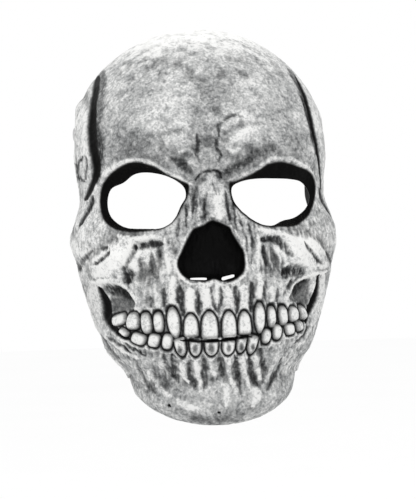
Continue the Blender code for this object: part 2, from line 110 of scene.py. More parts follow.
# Closed outlines in front view: X, Z of each corner in turn, in units
LEFT_EYE_HOLE = (
    -17.5, 3, -19.3, 10, -29, 16.3, -41, 19.4, -50, 18.8, -57, 13.8, -65, 9.8, -67.4, 0, -65, -9.2,
    -57, -15.6, -46, -17, -34, -16.8, -26, -12, -21, -3,
)
RIGHT_EYE_HOLE = (
    12.6, 7.4, 18, 11.3, 29, 13.2, 41, 13.2, 53, 12.5, 61.5, 10.2, 66.8, 2.2, 64, -6, 55, -12.4,
    45, -14.9, 38, -17.6, 30, -16.2, 21, -10.2, 14, -1.5,
)
LEFT_SLIT = (-17, -49.9, -12, -49.8, -7.2, -50.1, -7.1, -51.3, -12, -51.2, -16.8, -50.8)
RIGHT_SLIT = (3.2, -50.2, 7, -49.2, 10.9, -48.6, 11, -50.1, 7.4, -51.2, 3.4, -52)
LEFT_SOCKET = (
    -15.3, 7.3, -15.7, 10.5, -19, 12.5, -24, 15, -29.5, 17.5, -33.7, 20.6, -40, 23.8, -46.5, 26, -53, 26,
    -58, 24, -62, 21.5, -66, 18, -69.5, 13, -71, 7, -71.5, 0.4, -70.5, -8, -67.3, -13.5, -62.5, -16.6,
    -54, -18.7, -46, -18.8, -39.6, -18.2, -34, -17.4, -26, -12.8, -20, -3.5, -16.6, 2.5,
)
RIGHT_SOCKET = (
    11, 10, 14.5, 11.5, 21, 13.8, 27.3, 16.6, 33, 19.9, 37.4, 22.2, 44, 23.3, 51.3, 22.5, 57.3, 20.5,
    64, 18.4, 68.6, 15, 71.4, 9.6, 71.4, 3, 69.4, -3.5, 64.6, -11.3, 59, -15.6, 54, -18.2, 47, -18.8,
    41, -18.6, 37, -18.4, 29.5, -17, 20, -10.6, 12.8, -1.5,
)
NOSE_POCKET = (
    -1.4, -13.2, -4.4, -14.2, -7.6, -16.2, -12, -17.5, -14.1, -18.4, -16, -21.2, -18.6, -25.5, -21.8, -32,
    -24.4, -37, -25, -41.3, -23.7, -45.5, -21, -48.8, -16.8, -51.2, -11.8, -52.1, -8.3, -52.6,
    -4.8, -51.8, -2.2, -51, 1, -52, 4.6, -52.9, 9.8, -52.5, 13.2, -50.8, 16.8, -47.7, 18.3, -44,
    18.5, -39.8, 17.9, -34.2, 15.6, -30, 13.1, -25.6, 10.9, -21.4, 9.9, -18.4, 6.4, -16.1, 3.6, -14.8,
    1.3, -13.9,
)

# Broad forms in front view: centre X, Z; radii X, Z; tilt in degrees; height. Units
FORMS = (
    (-34, 60, 40, 34, 0, 1.6), (36, 58, 40, 34, 0, 1.6),            # forehead bosses
    (-3, 24, 15, 11, 0, 1.2),                                       # between the brows
    (-58, -36, 24, 15, 22, 3.5), (57, -37, 23, 15, -22, 3.5),       # cheekbones
    (-43, -40, 13, 16, -6, -2.2), (39, -40, 13, 16, 10, -2.2),      # hollows beside the nose
    (-63, -65, 12, 15, -20, -5.5), (58, -63, 12, 15, 20, -5.5),     # hollows under the cheekbones
    (-3, -66, 38, 18, 0, 2.0),                                      # roots of the upper teeth
    (-3, -84, 62, 17, 0, 1.0),                                      # both rows of teeth
    (-3, -128, 28, 15, 0, 2.4),                                     # chin
    (-36, -116, 18, 12, 30, -1.0), (31, -115, 18, 12, -30, -1.0),   # beside the chin
    (25, 40.5, 11, 6, 10, 1.4), (-22, 38, 10, 7, 0, 0.8),           # bumps over the brows
    (12, 48, 9, 6, 0, 0.8), (-40, 52, 16, 9, 20, 0.6),
    (-74, 50, 5, 44, 4, -1.2), (71, 50, 4, 40, 10, -1.2),           # edge of the forehead
)

# Ridges and grooves in front view: X, Z of each point in turn; width; height; shade from -1, black,
# to 1, clean and light
# the dark in the grooves is partly painted shade, and the light on the ridges partly a painted highlight
STROKES = (
    # rims over the sockets
    ((-14, 11, -20, 15, -30, 20, -38, 25, -47, 28, -56, 27, -64, 22, -70, 16, -73, 8), 2.2, 0.8, 0.35),
    ((-74, 10, -71, 16, -66, 21, -58, 26, -50, 28), 3.6, 0.4, 1.0),
    ((-27, 17, -20, 14, -13, 10), 2.4, 0.3, 0.9),
    ((10, 12, 18, 15, 28, 19, 36, 24, 44, 26, 53, 25, 62, 21, 69, 16, 74, 8), 2.2, 0.8, 0.3),
    ((56, 24, 65, 20, 72, 11), 3.0, 0.3, 0.8),
    # temple grooves
    ((-67.2, 89, -70.2, 78, -73.4, 66, -75.4, 52, -75.6, 40, -74.4, 30, -73.6, 22, -76, 13, -80, 4), 4.3,
     -1.3, -1.0), ((-64, 92, -67, 80, -70, 66, -72, 50, -72, 34, -72, 24, -73, 14), 7.5, -0.6, -0.6),
    ((63.4, 88, 66.6, 80, 69.4, 70, 71.4, 58, 73.2, 44, 74.6, 30, 76, 18, 77, 6), 1.9, -1.0, -1.0),
    ((60, 88, 66, 74, 69, 58, 71, 42, 73, 28), 5.0, -0.5, -0.7),
    ((-81, 33, -84, 28, -84, 20, -80, 16), 1.6, -0.5, -0.8),
    ((-80, 33, -79, 24, -80, 17), 1.5, -0.5, -0.75),
    # marks on the forehead; the wide soft dark strokes just over the sockets, under the bumps over the
    # brows, are painted shade
    ((5, 40, 5, 46, 7, 50, 12, 53, 18, 54, 22, 53), 1.9, -0.5, -0.5),
    ((22, 27, 31, 31, 42, 33), 7.0, -0.4, -0.2), ((-9, 25, -10, 30, -9, 36, -9, 43), 2.4, -0.6, -0.55),
    ((4, 25, 5, 30, 3, 34, 4, 40), 2.4, -0.6, -0.6),
    ((-11, 13, -8, 17, -2, 19, 4, 18, 6, 14), 1.8, -0.7, -0.85),
    ((-28, 28, -20, 24, -12, 18), 5.0, -0.5, -0.3), ((27, 26, 17, 22, 8, 17), 5.5, -0.5, -0.45),
    ((-22, 31, -16, 33, -12, 30), 2.4, 0.5, 0.5), ((9, 34, 14, 31, 20, 33), 2.4, 0.5, 0.4),
    ((8, 42, 13, 46, 18, 47, 22, 50), 4.0, -0.3, -0.25), ((12, 38, 20, 42, 31, 46), 5.0, 0.5, 0.8),
    ((-28, 47, -20, 50, -14, 46), 3.0, 0.4, 0.4),
    # bridge of the nose
    ((-2, 14, 1, 2, 3, -11), 15.0, 2.6, 0.1), ((2, 6, 3, -4, 4, -12), 5.0, 0.6, 1.0),
    ((-4, 6, -6, -3, -6, -12), 2.4, -0.6, -0.45), ((8, 6, 9, -4, 10, -14), 2.6, -0.9, -0.64),
    ((-11, 9, -13, -2, -14, -12), 1.8, -0.5, -0.49), ((-17, -1, -18, -10, -18, -18), 1.6, -0.5, -0.45),
    ((12, 2, 14, -9, 14, -20), 1.6, -0.5, -0.49), ((16, -8, 18, -18, 20, -30), 1.6, -0.5, -0.45),
    ((-22, -8, -24, -18, -26, -28), 2.0, -0.4, -0.38), ((22, -14, 24, -26, 23, -42), 2.0, -0.4, -0.41),
    ((0, 12, 2, 4), 1.4, -0.4, -0.52), ((-9, 4, -10, -5, -10, -12), 1.6, 0.3, 0.5),
    ((-15, -4, -16, -12, -16, -17), 1.6, 0.3, 0.4), ((16, -4, 17, -14), 1.8, 0.3, 0.4),
    # rim round the nose pocket
    ((-13, -16, -18, -22, -23, -32, -27, -41, -24, -48, -17, -53, -8, -54, -2, -53), 1.5, 0.7, 0.55),
    ((10, -16, 15, -24, 19, -33, 20, -42, 18, -49, 11, -54, 3, -55), 1.5, 0.7, 0.55),
    # left cheek
    ((-77, -39, -71, -36, -66, -31), 2.6, -1.0, -0.94), ((-72, -30, -68, -28), 3.0, -0.7, -0.6),
    ((-62, -21, -54, -24, -47, -24, -35, -23), 4.6, 1.4, 1.0),
    ((-70, -40, -64, -36, -60, -38), 3.0, 0.5, 0.5), ((-52, -29, -43, -27, -34, -27), 5.0, -1.4, -0.65),
    ((-50, -28, -53, -35, -57, -42), 2.6, -0.9, -0.8), ((-37, -29, -36, -36), 2.4, -0.7, -0.6),
    ((-33, -23, -32, -34, -31, -46), 2.6, 1.1, 1.0), ((-58, -41, -56, -46, -57, -52), 6.4, -1.2, -0.85),
    ((-51, -26, -56, -33, -60, -42), 2.6, 1.0, 0.9), ((-45, -33, -44, -39, -46, -45), 3.0, 0.5, 0.6),
    ((-40, -33, -38, -42), 2.2, 0.4, 0.5), ((-48, -35, -49, -42), 2.0, -0.5, -0.5),
    ((-42, -38, -42, -46), 1.8, -0.5, -0.5),
    ((-79, -51, -72, -50, -64, -51, -59, -55, -55, -60, -52, -66), 3.0, 1.6, 1.0),
    ((-77, -47, -71, -45, -67, -47), 4.0, 0.8, 0.9),
    ((-73, -55, -67, -56, -61, -58, -58, -62), 6.0, -1.6, -0.75),
    ((-78, -30, -83, -36, -86, -44), 2.4, -0.5, -0.5),
    # right cheek
    ((58, -29, 62, -35, 66, -40, 72, -44), 2.6, -1.0, -0.94),
    ((28, -20, 37, -22, 45, -24, 53, -30, 60, -38), 3.6, 1.3, 1.0),
    ((28, -27, 36, -26, 41, -27, 45, -32, 50, -38), 4.6, -1.4, -0.65),
    ((28, -24, 28, -36, 27, -46), 2.4, 1.1, 1.0), ((31, -30, 32, -38, 33, -44), 2.2, -0.7, -0.65),
    ((35, -32, 36, -40, 38, -46), 2.6, 0.5, 0.7), ((41, -36, 43, -42, 43, -50), 2.2, 0.5, 0.6),
    ((39, -34, 40, -42), 1.8, -0.5, -0.5), ((44, -52, 48, -48, 54, -47, 58, -49), 8.0, -1.4, -0.7),
    ((43, -48, 47, -43, 54, -42, 61, -46), 2.2, 1.0, 0.9),
    ((78, -49, 70, -50, 62, -51, 54, -56, 49, -62, 44, -68), 2.4, 1.6, 1.0),
    ((68, -44, 74, -45, 79, -44), 5.0, 0.8, 0.8), ((62, -54, 58, -58, 54, -64), 5.0, -1.4, -0.7),
    ((51, -53, 47, -58, 44, -63), 2.6, -0.8, -0.6), ((76, -36, 81, -41, 84, -47), 2.2, -0.5, -0.5),
    ((62, -26, 68, -32, 75, -37), 3.4, 0.8, 0.6),
    # openings at the corners of the mouth
    ((-79, -54, -78, -66, -76, -76, -70, -86, -62, -94), 3.6, 1.4, 0.3),
    ((74, -50, 74, -60, 72, -70, 67, -80, 60, -88), 3.6, 1.4, 0.3),
    ((-74.5, -54, -72.6, -59.5, -71.6, -66.8, -70.8, -73, -68.4, -78.3, -65, -82.5, -61.3, -85.8, -57,
     -88.5), 3.6, -2.4, -1.0),
    ((69.4, -51, 69.6, -57, 68.7, -64, 66.6, -69.5, 63.5, -73.5, 61, -77, 59.4, -82), 2.8, -2.2, -1.0),
    ((-69, -86, -63, -92, -55, -97), 1.8, -0.7, -0.8), ((-66, -91, -59, -97, -51, -101), 2.4, 0.7, 0.7),
    ((-59, -91, -52, -96, -47, -99), 1.6, -0.5, -0.65), ((62, -84, 57, -90, 50, -95), 1.8, -0.5, -0.6),
    ((64, -86, 58, -93, 52, -98), 2.2, 0.6, 0.5),
    # roots of the upper teeth
    ((-29, -48, -29, -60, -29, -68), 4.4, 1.1, 1.0), ((-18, -56, -18, -62, -18, -72), 5.6, 1.1, 1.0),
    ((-7, -57, -7, -64, -7, -70), 4.4, 0.8, 0.6), ((0, -53, -1, -60, -1, -68), 1.8, 0.7, 1.0),
    ((6, -56, 7, -63, 6, -70), 4.6, 0.8, 0.6), ((17, -55, 17, -63, 17, -71), 4.4, 1.0, 0.9),
    ((28, -48, 28, -58, 27, -66), 3.2, 1.0, 1.0), ((-39, -58, -39, -64, -38, -69), 3.4, 0.5, 0.5),
    ((36, -56, 36, -62, 35, -68), 3.0, 0.5, 0.5), ((-24, -54, -24, -64, -23, -74), 5.1, -1.0, -0.59),
    ((-13, -57, -13, -65, -13, -74), 3.9, -0.8, -0.56), ((-4, -56, -4, -64, -1, -73), 2.5, -0.6, -0.52),
    ((2, -56, 2, -64, 0, -73), 2.5, -0.6, -0.52), ((12, -56, 12, -65, 11, -74), 3.7, -0.8, -0.56),
    ((22, -54, 22, -64, 21, -74), 3.9, -1.0, -0.59), ((-34, -56, -34, -64, -34, -71), 3.2, -0.5, -0.42),
    ((31, -54, 31, -62, 31, -70), 2.8, -0.5, -0.42), ((-43, -60, -43, -66, -42, -71), 2.2, -0.4, -0.42),
    ((40, -58, 39, -64, 39, -70), 2.2, -0.4, -0.42),
    # roots of the lower teeth
    ((-24, -102, -24, -109, -20, -118), 3.2, 0.9, 0.9),
    ((-16, -103, -14, -111, -13, -120), 3.2, 0.9, 0.8), ((-6, -102, -5, -108, -3, -115), 3.0, 0.7, 0.6),
    ((6, -102, 6, -111, 8, -121), 3.0, 0.7, 0.7), ((15, -101, 16, -111, 20, -124), 3.0, 0.9, 0.8),
    ((23, -101, 25, -109, 27, -118), 3.0, 0.9, 0.9), ((-30, -98, -30, -107, -27, -117), 4.0, -0.8, -0.36),
    ((-20, -103, -19, -112, -16, -122), 3.8, -0.8, -0.36),
    ((-10, -102, -10, -112, -10, -122), 3.8, -0.8, -0.36), ((0, -101, 1, -108, 2, -114), 4.0, -0.9, -0.4),
    ((10, -100, 11, -112, 13, -126), 3.8, -0.9, -0.4), ((19, -101, 21, -112, 25, -122), 3.4, -0.8, -0.34),
    ((27, -97, 28, -104, 31, -112), 3.8, -0.8, -0.36),
    ((-36, -97, -34, -106, -30, -114), 2.8, -0.5, -0.32),
    # chin and jaw
    ((3, -119, 4, -125, 3, -133), 4.6, 0.9, 0.9), ((22, -123, 24, -128, 20, -134), 5.0, 0.8, 0.8),
    ((-28, -128, -22, -132, -14, -134), 4.4, 0.8, 0.9),
    ((-33.4, -131.4, -32.4, -132.6), 2.0, -0.6, -0.98), ((-1.8, -136, -1.2, -137.2), 2.0, -0.6, -0.98),
    ((-46, -108, -40, -119, -30, -127), 3.0, 0.6, 0.6),
    ((-52, -104, -47, -116, -41, -124), 2.6, -0.5, -0.4),
    ((42, -104, 37, -116, 30, -125), 2.8, -0.5, -0.4), ((36, -108, 32, -117, 27, -124), 2.6, 0.5, 0.5),
)

# Stains on the lower front teeth: X, Z; half width
LOWER_STAINS = (
    (-16, -94.5, 2.2), (-5.6, -94.6, 2.8), (13.6, -94.6, 2.2), (-25.4, -95, 2.0), (21, -95, 1.8),
    (5.4, -95, 2.0),
)
# The lip under the upper front teeth and the dark gap below it
BITE = (
    ((-24, -87.4, -16, -88.2, -6, -88.7, 4, -88.3, 13, -87.4), 1.2, 0.7, 1.0),
    ((-25, -89, -16, -90, -6, -90.5, 4, -90.1, 12, -89.2, 21, -88.4), 1.15, -1.0, -1.0),
)

# Ridges and grooves of both sides alike, in side view: Y, Z of each point; width; height; shade
# as in front, the dark in the hollows is partly painted shade and the light on the ridges partly a painted
# highlight
SIDE_STROKES = (
    ((-62, 6, -57, -4, -50, -13), 6.5, -1.3, -0.75),                    # behind the socket
    ((-62, -31, -46, -29, -28, -25, -10, -21, 6, -18), 10.0, 0.7, 0.5),  # arch of the cheekbone
    ((-52, -42, -36, -40, -18, -36, -4, -33), 8.0, -1.1, -0.12),        # under it
    ((-40, -18, -30, -15, -16, -12, -2, -8), 9.0, -0.9, -0.1),          # hollow over it
    ((-42, 6, -34, 20, -26, 34), 20.0, -0.6, 0.1),
    ((-36, -52, -34, -64, -36, -74), 15.0, -0.8, 0.0),
    ((-6, -36, -10, -52, -16, -70, -26, -86), 10.0, 1.8, 0.35),         # back of the jaw
    ((-26, -88, -42, -100, -58, -112, -74, -122), 9.0, 1.6, 0.35),
    ((-46, -84, -58, -94, -70, -102), 7.0, -0.8, -0.2),
    ((-30, 64, -22, 48, -20, 30, -24, 12), 5.0, 0.9, 0.2), ((-16, 74, -8, 58, -8, 36), 5.0, 0.8, 0.2),
    ((-24, 70, -15, 52, -14, 32, -18, 14), 2.4, -0.6, -0.4),
    ((2, -16, 4, -20, 3, -25), 3.6, -1.6, -0.9),                        # ear opening
    ((-20, 108, -24, 98, -19, 90, -25, 82, -21, 76), 1.0, -0.4, -0.6),  # suture
)

# Broad greys of the paint, and painted light over the crown: centre X, Z; radii X, Z; wear and brightness
# added
WASHES_AND_PAINTED_LIGHT = (
    (-80, -24, 9, 20, -0.30, 0.04), (-19, 81, 9, 7, -0.12, 0.03), (-26, 60, 16, 11, -0.20, 0.04),
    (25, 50, 15, 7, -0.30, 0.06), (26, 72, 9, 12, -0.15, 0.03), (-5, 99, 16, 7, 0.16, -0.04),
    (-24, 92, 16, 7, 0.10, -0.03), (-56, 50, 9, 12, 0.06, -0.02), (-7, 53, 7, 12, 0.16, -0.04),
    (-62, -33, 18, 15, -0.55, 0.06), (60, -30, 18, 15, -0.55, 0.06), (0, -58, 50, 13, -0.30, 0.03),
    (-38, -38, 12, 16, -0.20, 0.03), (38, -38, 12, 16, -0.20, 0.03), (42, 58, 10, 9, 0.12, -0.03),
    (12, 66, 9, 8, 0.10, -0.03), (-46, 76, 10, 8, 0.06, -0.02), (55, 40, 8, 8, 0.14, -0.04),
    (-5, 78, 34, 24, 0.15, -0.03), (14, 82, 20, 18, 0.06, -0.03), (-60, 45, 14, 30, 0.06, -0.02),
    # the second entry of the next row is painted light: the crown cleaned and brightened where it fades to
    # white
    (45, 45, 22, 26, 0.06, -0.02), (0, 128, 110, 36, -0.95, 0.12), (-2, 30, 8, 12, 0.10, -0.04),
    (20, 20, 12, 8, 0.1, -0.08), (-16, 24, 12, 8, 0.1, -0.06), (-44, 38, 18, 8, 0.05, -0.05),
    (-42, -52, 14, 14, 0.12, -0.06), (38, -50, 12, 14, 0.12, -0.06), (-64, -67, 10, 10, -0.3, 0.04),
    (59, -64, 10, 10, -0.3, 0.04), (-3, -64, 30, 10, 0.08, -0.03), (-40, -104, 20, 12, 0.05, -0.03),
    (34, -104, 22, 12, 0.05, -0.03), (-3, -110, 26, 14, -0.10, 0.02), (-82, -66, 8, 26, -0.2, -0.10),
    (80, -66, 8, 26, -0.2, -0.10), (-82, 60, 8, 40, -0.3, 0.03), (82, 60, 8, 40, -0.3, 0.03),
    (-3, -132, 40, 12, 0.14, -0.05),
)

PAPER_WHITE = 0.88            # brightness of the brushed paint, as the eye sees it
# the clean white is also the white of the painted highlights
CLEAN_AND_HIGHLIGHT_WHITE = 0.90            # and where it is thick and clean
BLACK = -0.95                 # a shade at or below this is painted solid black
VIEW_YAW = math.radians(-6)   # the camera stands 6 degrees to the mask's own right
INWARD = np.array([-math.sin(VIEW_YAW), math.cos(VIEW_YAW), 0.0])   # way into the hollows
FACE_Y = -30                  # the face's openings are all in front of this, in units
# The black sprayed inside: its middle, half height and soft edge, in units
SPRAY_Z, SPRAY_REACH, SPRAY_EDGE = -14, 52, 16

# Crowns: girths at places from the biting edge, -1, to the gum, 1; squareness of each half
CROWNS = {
    "bell": ((-1.1, -0.4, 0.5, 1.1), (1.0, 0.97, 0.86, 0.66), 7.0, 2.3),
    "fang": ((-1.1, -0.5, 0.2, 1.1), (0.66, 0.90, 1.0, 0.82), 2.5, 2.5),
    "box": ((-1.1, 0.0, 1.1), (0.95, 1.0, 0.88), 3.0, 3.0),
    "molar": ((-1.1, 0.0, 1.1), (1.0, 1.0, 0.9), 3.4, 3.4),
}
# Teeth: crown; centre X, Z; half width, half height in units; tilt in degrees
UPPER_TEETH = (
    ("molar", -63.6, -75.4, 4.5, 3.8, 20), ("molar", -54.3, -76.2, 4.1, 5.6, 0),
    ("box", -46, -77.8, 3.4, 6.7, 6), ("box", -38.5, -77.4, 3.2, 6.4, 3),
    ("fang", -28.9, -78.1, 4.1, 9.8, 6), ("bell", -18.2, -80.2, 4.8, 7.2, 0),
    ("bell", -6.4, -80.2, 5.5, 8.4, 0), ("bell", 6.1, -80.2, 4.9, 8.0, 0),
    ("bell", 16.2, -79.8, 4.4, 7.4, 0), ("fang", 26.4, -77.1, 3.6, 9.6, -2),
    ("box", 34.5, -76.6, 2.9, 6.7, 0), ("box", 42.4, -76.2, 3.1, 6.2, 4),
    ("molar", 50, -75.6, 3.5, 5.0, 0), ("molar", 57.6, -75, 2.7, 4.7, -6),
)
LOWER_TEETH = (
    ("molar", -60.2, -84, 3.2, 2.6, -40), ("molar", -51, -87.9, 4.6, 3.6, -24),
    ("molar", -41.5, -89.1, 3.7, 4.3, -12), ("box", -33.3, -90, 3.3, 5.0, -8),
    ("bell", -25.0, -93.8, 3.6, 6.0, 12), ("bell", -15.7, -94.8, 3.8, 5.2, 2),
    ("bell", -5.5, -95.2, 4.4, 4.9, 0), ("bell", 5.4, -95.2, 4.2, 4.9, -6),
    ("bell", 13.7, -93.9, 3.2, 5.2, -10), ("bell", 20.9, -94.0, 3.3, 6.1, -12),
    ("box", 30.3, -88.9, 2.9, 4.6, -10), ("box", 37.8, -86.6, 3.0, 4.8, -8),
    ("molar", 46.7, -85.3, 3.3, 3.7, 5), ("molar", 53.9, -83.6, 2.6, 3.5, 12),
)


# ------------------------------ pieces

def add_object(name, data):
    thing = bpy.data.objects.new(name, data)
    bpy.context.scene.collection.objects.link(thing)
    return thing


def place_piece(piece, body, node):
    """Put a visible piece on its body, in place of a CAD node."""
    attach(piece, body)
    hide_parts(node)


def add_attribute(mesh, name, values):
    mesh.attributes.new(name, "FLOAT", "POINT").data.foreach_set("value", values.astype(np.float32))


def apply_modifiers(piece):
    graph = bpy.context.evaluated_depsgraph_get()
    mesh = bpy.data.meshes.new_from_object(piece.evaluated_get(graph))
    piece.modifiers.clear()
    piece.data = mesh


def ring_faces(rings, points, closed=False):
    """Faces between rings of points. closed joins the last ring to the first."""
    return [(r * points + k, r * points + beside, after * points + beside, after * points + k)
            for r, after in zip(range(rings), [*range(1, rings), 0][:rings if closed else -1])
            for k, beside in zip(range(points), [*range(1, points), 0])]


# ------------------------------ shapes

def curve_through(stations, values):
    """A curve through values at rising stations that never overshoots them."""
    step = np.diff(stations)
    slope = np.diff(values) / step
    tangent = np.empty(len(stations))
    tangent[0], tangent[-1] = slope[0], slope[-1]
    for i in range(1, len(step)):
        before, after = slope[i - 1], slope[i]
        near, far = 2 * step[i] + step[i - 1], step[i] + 2 * step[i - 1]
        tangent[i] = (near + far) / (near / before + far / after) if before * after > 0 else 0.0

    def value(place):
        i = np.clip(np.searchsorted(stations, place) - 1, 0, len(step) - 1)
        t = (place - stations[i]) / step[i]
        rise = values[i] + (values[i + 1] - values[i]) * t * t * (3 - 2 * t)
        return rise + t * (1 - t) * step[i] * ((1 - t) * tangent[i] - t * tangent[i + 1])

    return value


def smooth_line(points, closed=False, per_span=4):
    """Points along a smooth curve through the given ones, as an array."""
    p = np.reshape(points, (-1, 2)).astype(float)
    if closed:
        a, b, c, d = (np.roll(p, -k, axis=0) for k in (-1, 0, 1, 2))
    else:
        padded = np.vstack([2 * p[0] - p[1], p, 2 * p[-1] - p[-2]])
        a, b, c, d = padded[:-3], padded[1:-2], padded[2:-1], padded[3:]
    t = (np.arange(per_span) / per_span)[None, :, None]
    a, b, c, d = (q[:, None, :] for q in (a, b, c, d))
    bend, twist = 2 * a - 5 * b + 4 * c - d, 3 * b - a - 3 * c + d
    curve = b + 0.5 * ((c - a) * t + bend * t ** 2 + twist * t ** 3)
    return np.vstack([curve.reshape(-1, 2), p[:1] if closed else p[-1:]])


def smoothstep(value):
    t = np.clip(value, 0, 1)
    return t * t * (3 - 2 * t)


def nearest_on_line(points, line):
    """Distance to an open line of points, share along it, and the nearest point."""
    start, run = line[:-1], np.diff(line, axis=0)
    length = np.maximum((run ** 2).sum(1), 1e-12)
    ends = np.concatenate([[0], np.cumsum(np.sqrt(length))])
    best = np.full(len(points), 1e9)
    share = np.zeros(len(points))
    foot = np.zeros(points.shape)
    for i in range(len(run)):
        t = np.clip(((points - start[i]) @ run[i]) / length[i], 0, 1)
        place = start[i] + t[:, None] * run[i]
        distance = np.hypot(*(points - place).T)
        closer = distance < best
        best[closer] = distance[closer]
        share[closer] = (ends[i] + t[closer] * (ends[i + 1] - ends[i])) / ends[-1]
        foot[closer] = place[closer]
    return best, share, foot


def is_inside(points, line):
    """True for points inside a closed line."""
    inside = np.zeros(len(points), bool)
    for (ax, az), (bx, bz) in zip(line[:-1], line[1:]):
        crosses = (az > points[:, 1]) != (bz > points[:, 1])
        if az != bz:
            inside ^= crosses & (points[:, 0] < (bx - ax) * (points[:, 1] - az) / (bz - az) + ax)
    return inside


def base_surface(across, along):
    """Outside of the plain head form. across runs -1..1 from rim to rim, along 0..1 from crown to chin."""
    table = np.array(STATIONS)
    curves = [curve_through(table[:, 0], table[:, k]) for k in range(1, 10)]
    mid_y, mid_z, side_x, side_y, side_z, rim_x, rim_y, rim_z, square = [c(along) for c in curves]
    reach = np.abs(across)
    turn = np.clip(reach / FRONT_SHARE, 0, 1) * math.pi / 2
    behind = np.clip((reach - FRONT_SHARE) / (1 - FRONT_SHARE), 0, 1)
    x = side_x * np.sin(turn) ** (2 / square) + (rim_x - side_x) * behind ** 2
    y = side_y + (mid_y - side_y) * np.cos(turn) ** (2 / square) + (rim_y - side_y) * behind
    z = side_z + (mid_z - side_z) * np.cos(turn) ** HEIGHT_POWER + (rim_z - side_z) * behind
    place = np.stack([x, y, z], axis=-1) * UNIT
    distance = np.hypot(place[..., 1] - ANCHOR.y, place[..., 2] - ANCHOR.z)
    near = (1 - smoothstep((distance - ANCHOR_FLAT) / (ANCHOR_BLEND - ANCHOR_FLAT))) * (reach > 0.5)
    place[..., 0] += (ANCHOR.x - place[..., 0]) * near
    place[..., 0] *= np.sign(across)
    return place, near


def spaced(places, spacing, samples):
    """Spread samples so that each step is as long as the wanted spacing there."""
    length = np.linalg.norm(np.diff(places, axis=0), axis=1)
    steps = length / (0.5 * (spacing[1:] + spacing[:-1]))
    total = np.concatenate([[0], np.cumsum(steps)])
    count = int(round(total[-1]))
    return np.interp(np.linspace(0, total[-1], count + 1), total, samples)


def skin_grid():
    """Places of the grid lines: close together over the teeth and wide apart over the sides."""
    along = np.linspace(0, 1, 3000)
    middle, _ = base_surface(0 * along + 1e-6, along)
    z = middle[:, 2] / UNIT
    spacing = np.interp(z, (-150, -118, -106, -102, -69, -64, -55, -53, -48, -46, 20, 40, 118),
                        (1.1, 0.9, 0.8, 0.5, 0.5, 0.8, 0.7, 0.45, 0.45, 0.8, 0.8, 1.3, 1.6)) * UNIT
    rows = spaced(middle, spacing, along)
    across = np.linspace(1e-6, 1, 3000)
    side, _ = base_surface(across, 0 * across + 0.62)
    x = side[:, 0] / UNIT
    spacing = np.interp(x, (0, 66, 76, 90), (0.62, 0.62, 1.0, 1.7)) * UNIT
    half = spaced(side, spacing, across)
    half[0] = 0
    columns = np.concatenate([-half[:0:-1], [1e-9], half[1:]])
    return np.meshgrid(columns, rows)


def unit_vectors(vectors):
    return vectors / np.maximum(np.linalg.norm(vectors, axis=-1, keepdims=True), 1e-12)


def surface_normals(place):
    normal = unit_vectors(np.cross(np.gradient(place, axis=0), np.gradient(place, axis=1)))
    return normal * np.sign((normal * place).sum(axis=-1, keepdims=True))


def over_neighbours(field, reach, combine):
    """Combine each value with those up to reach rows and columns away."""
    for axis in (0, 1):
        padded = np.pad(field, [(reach, reach) if axis == k else (0, 0) for k in (0, 1)], mode="edge")
        shifted = [np.take(padded, range(k, k + field.shape[axis]), axis=axis) for k in range(2 * reach + 1)]
        field = combine(shifted, axis=0)
    return field


def blurred(field, reach):
    return over_neighbours(over_neighbours(field, reach, np.mean), reach, np.mean)


# ------------------------------ the sculpted skin

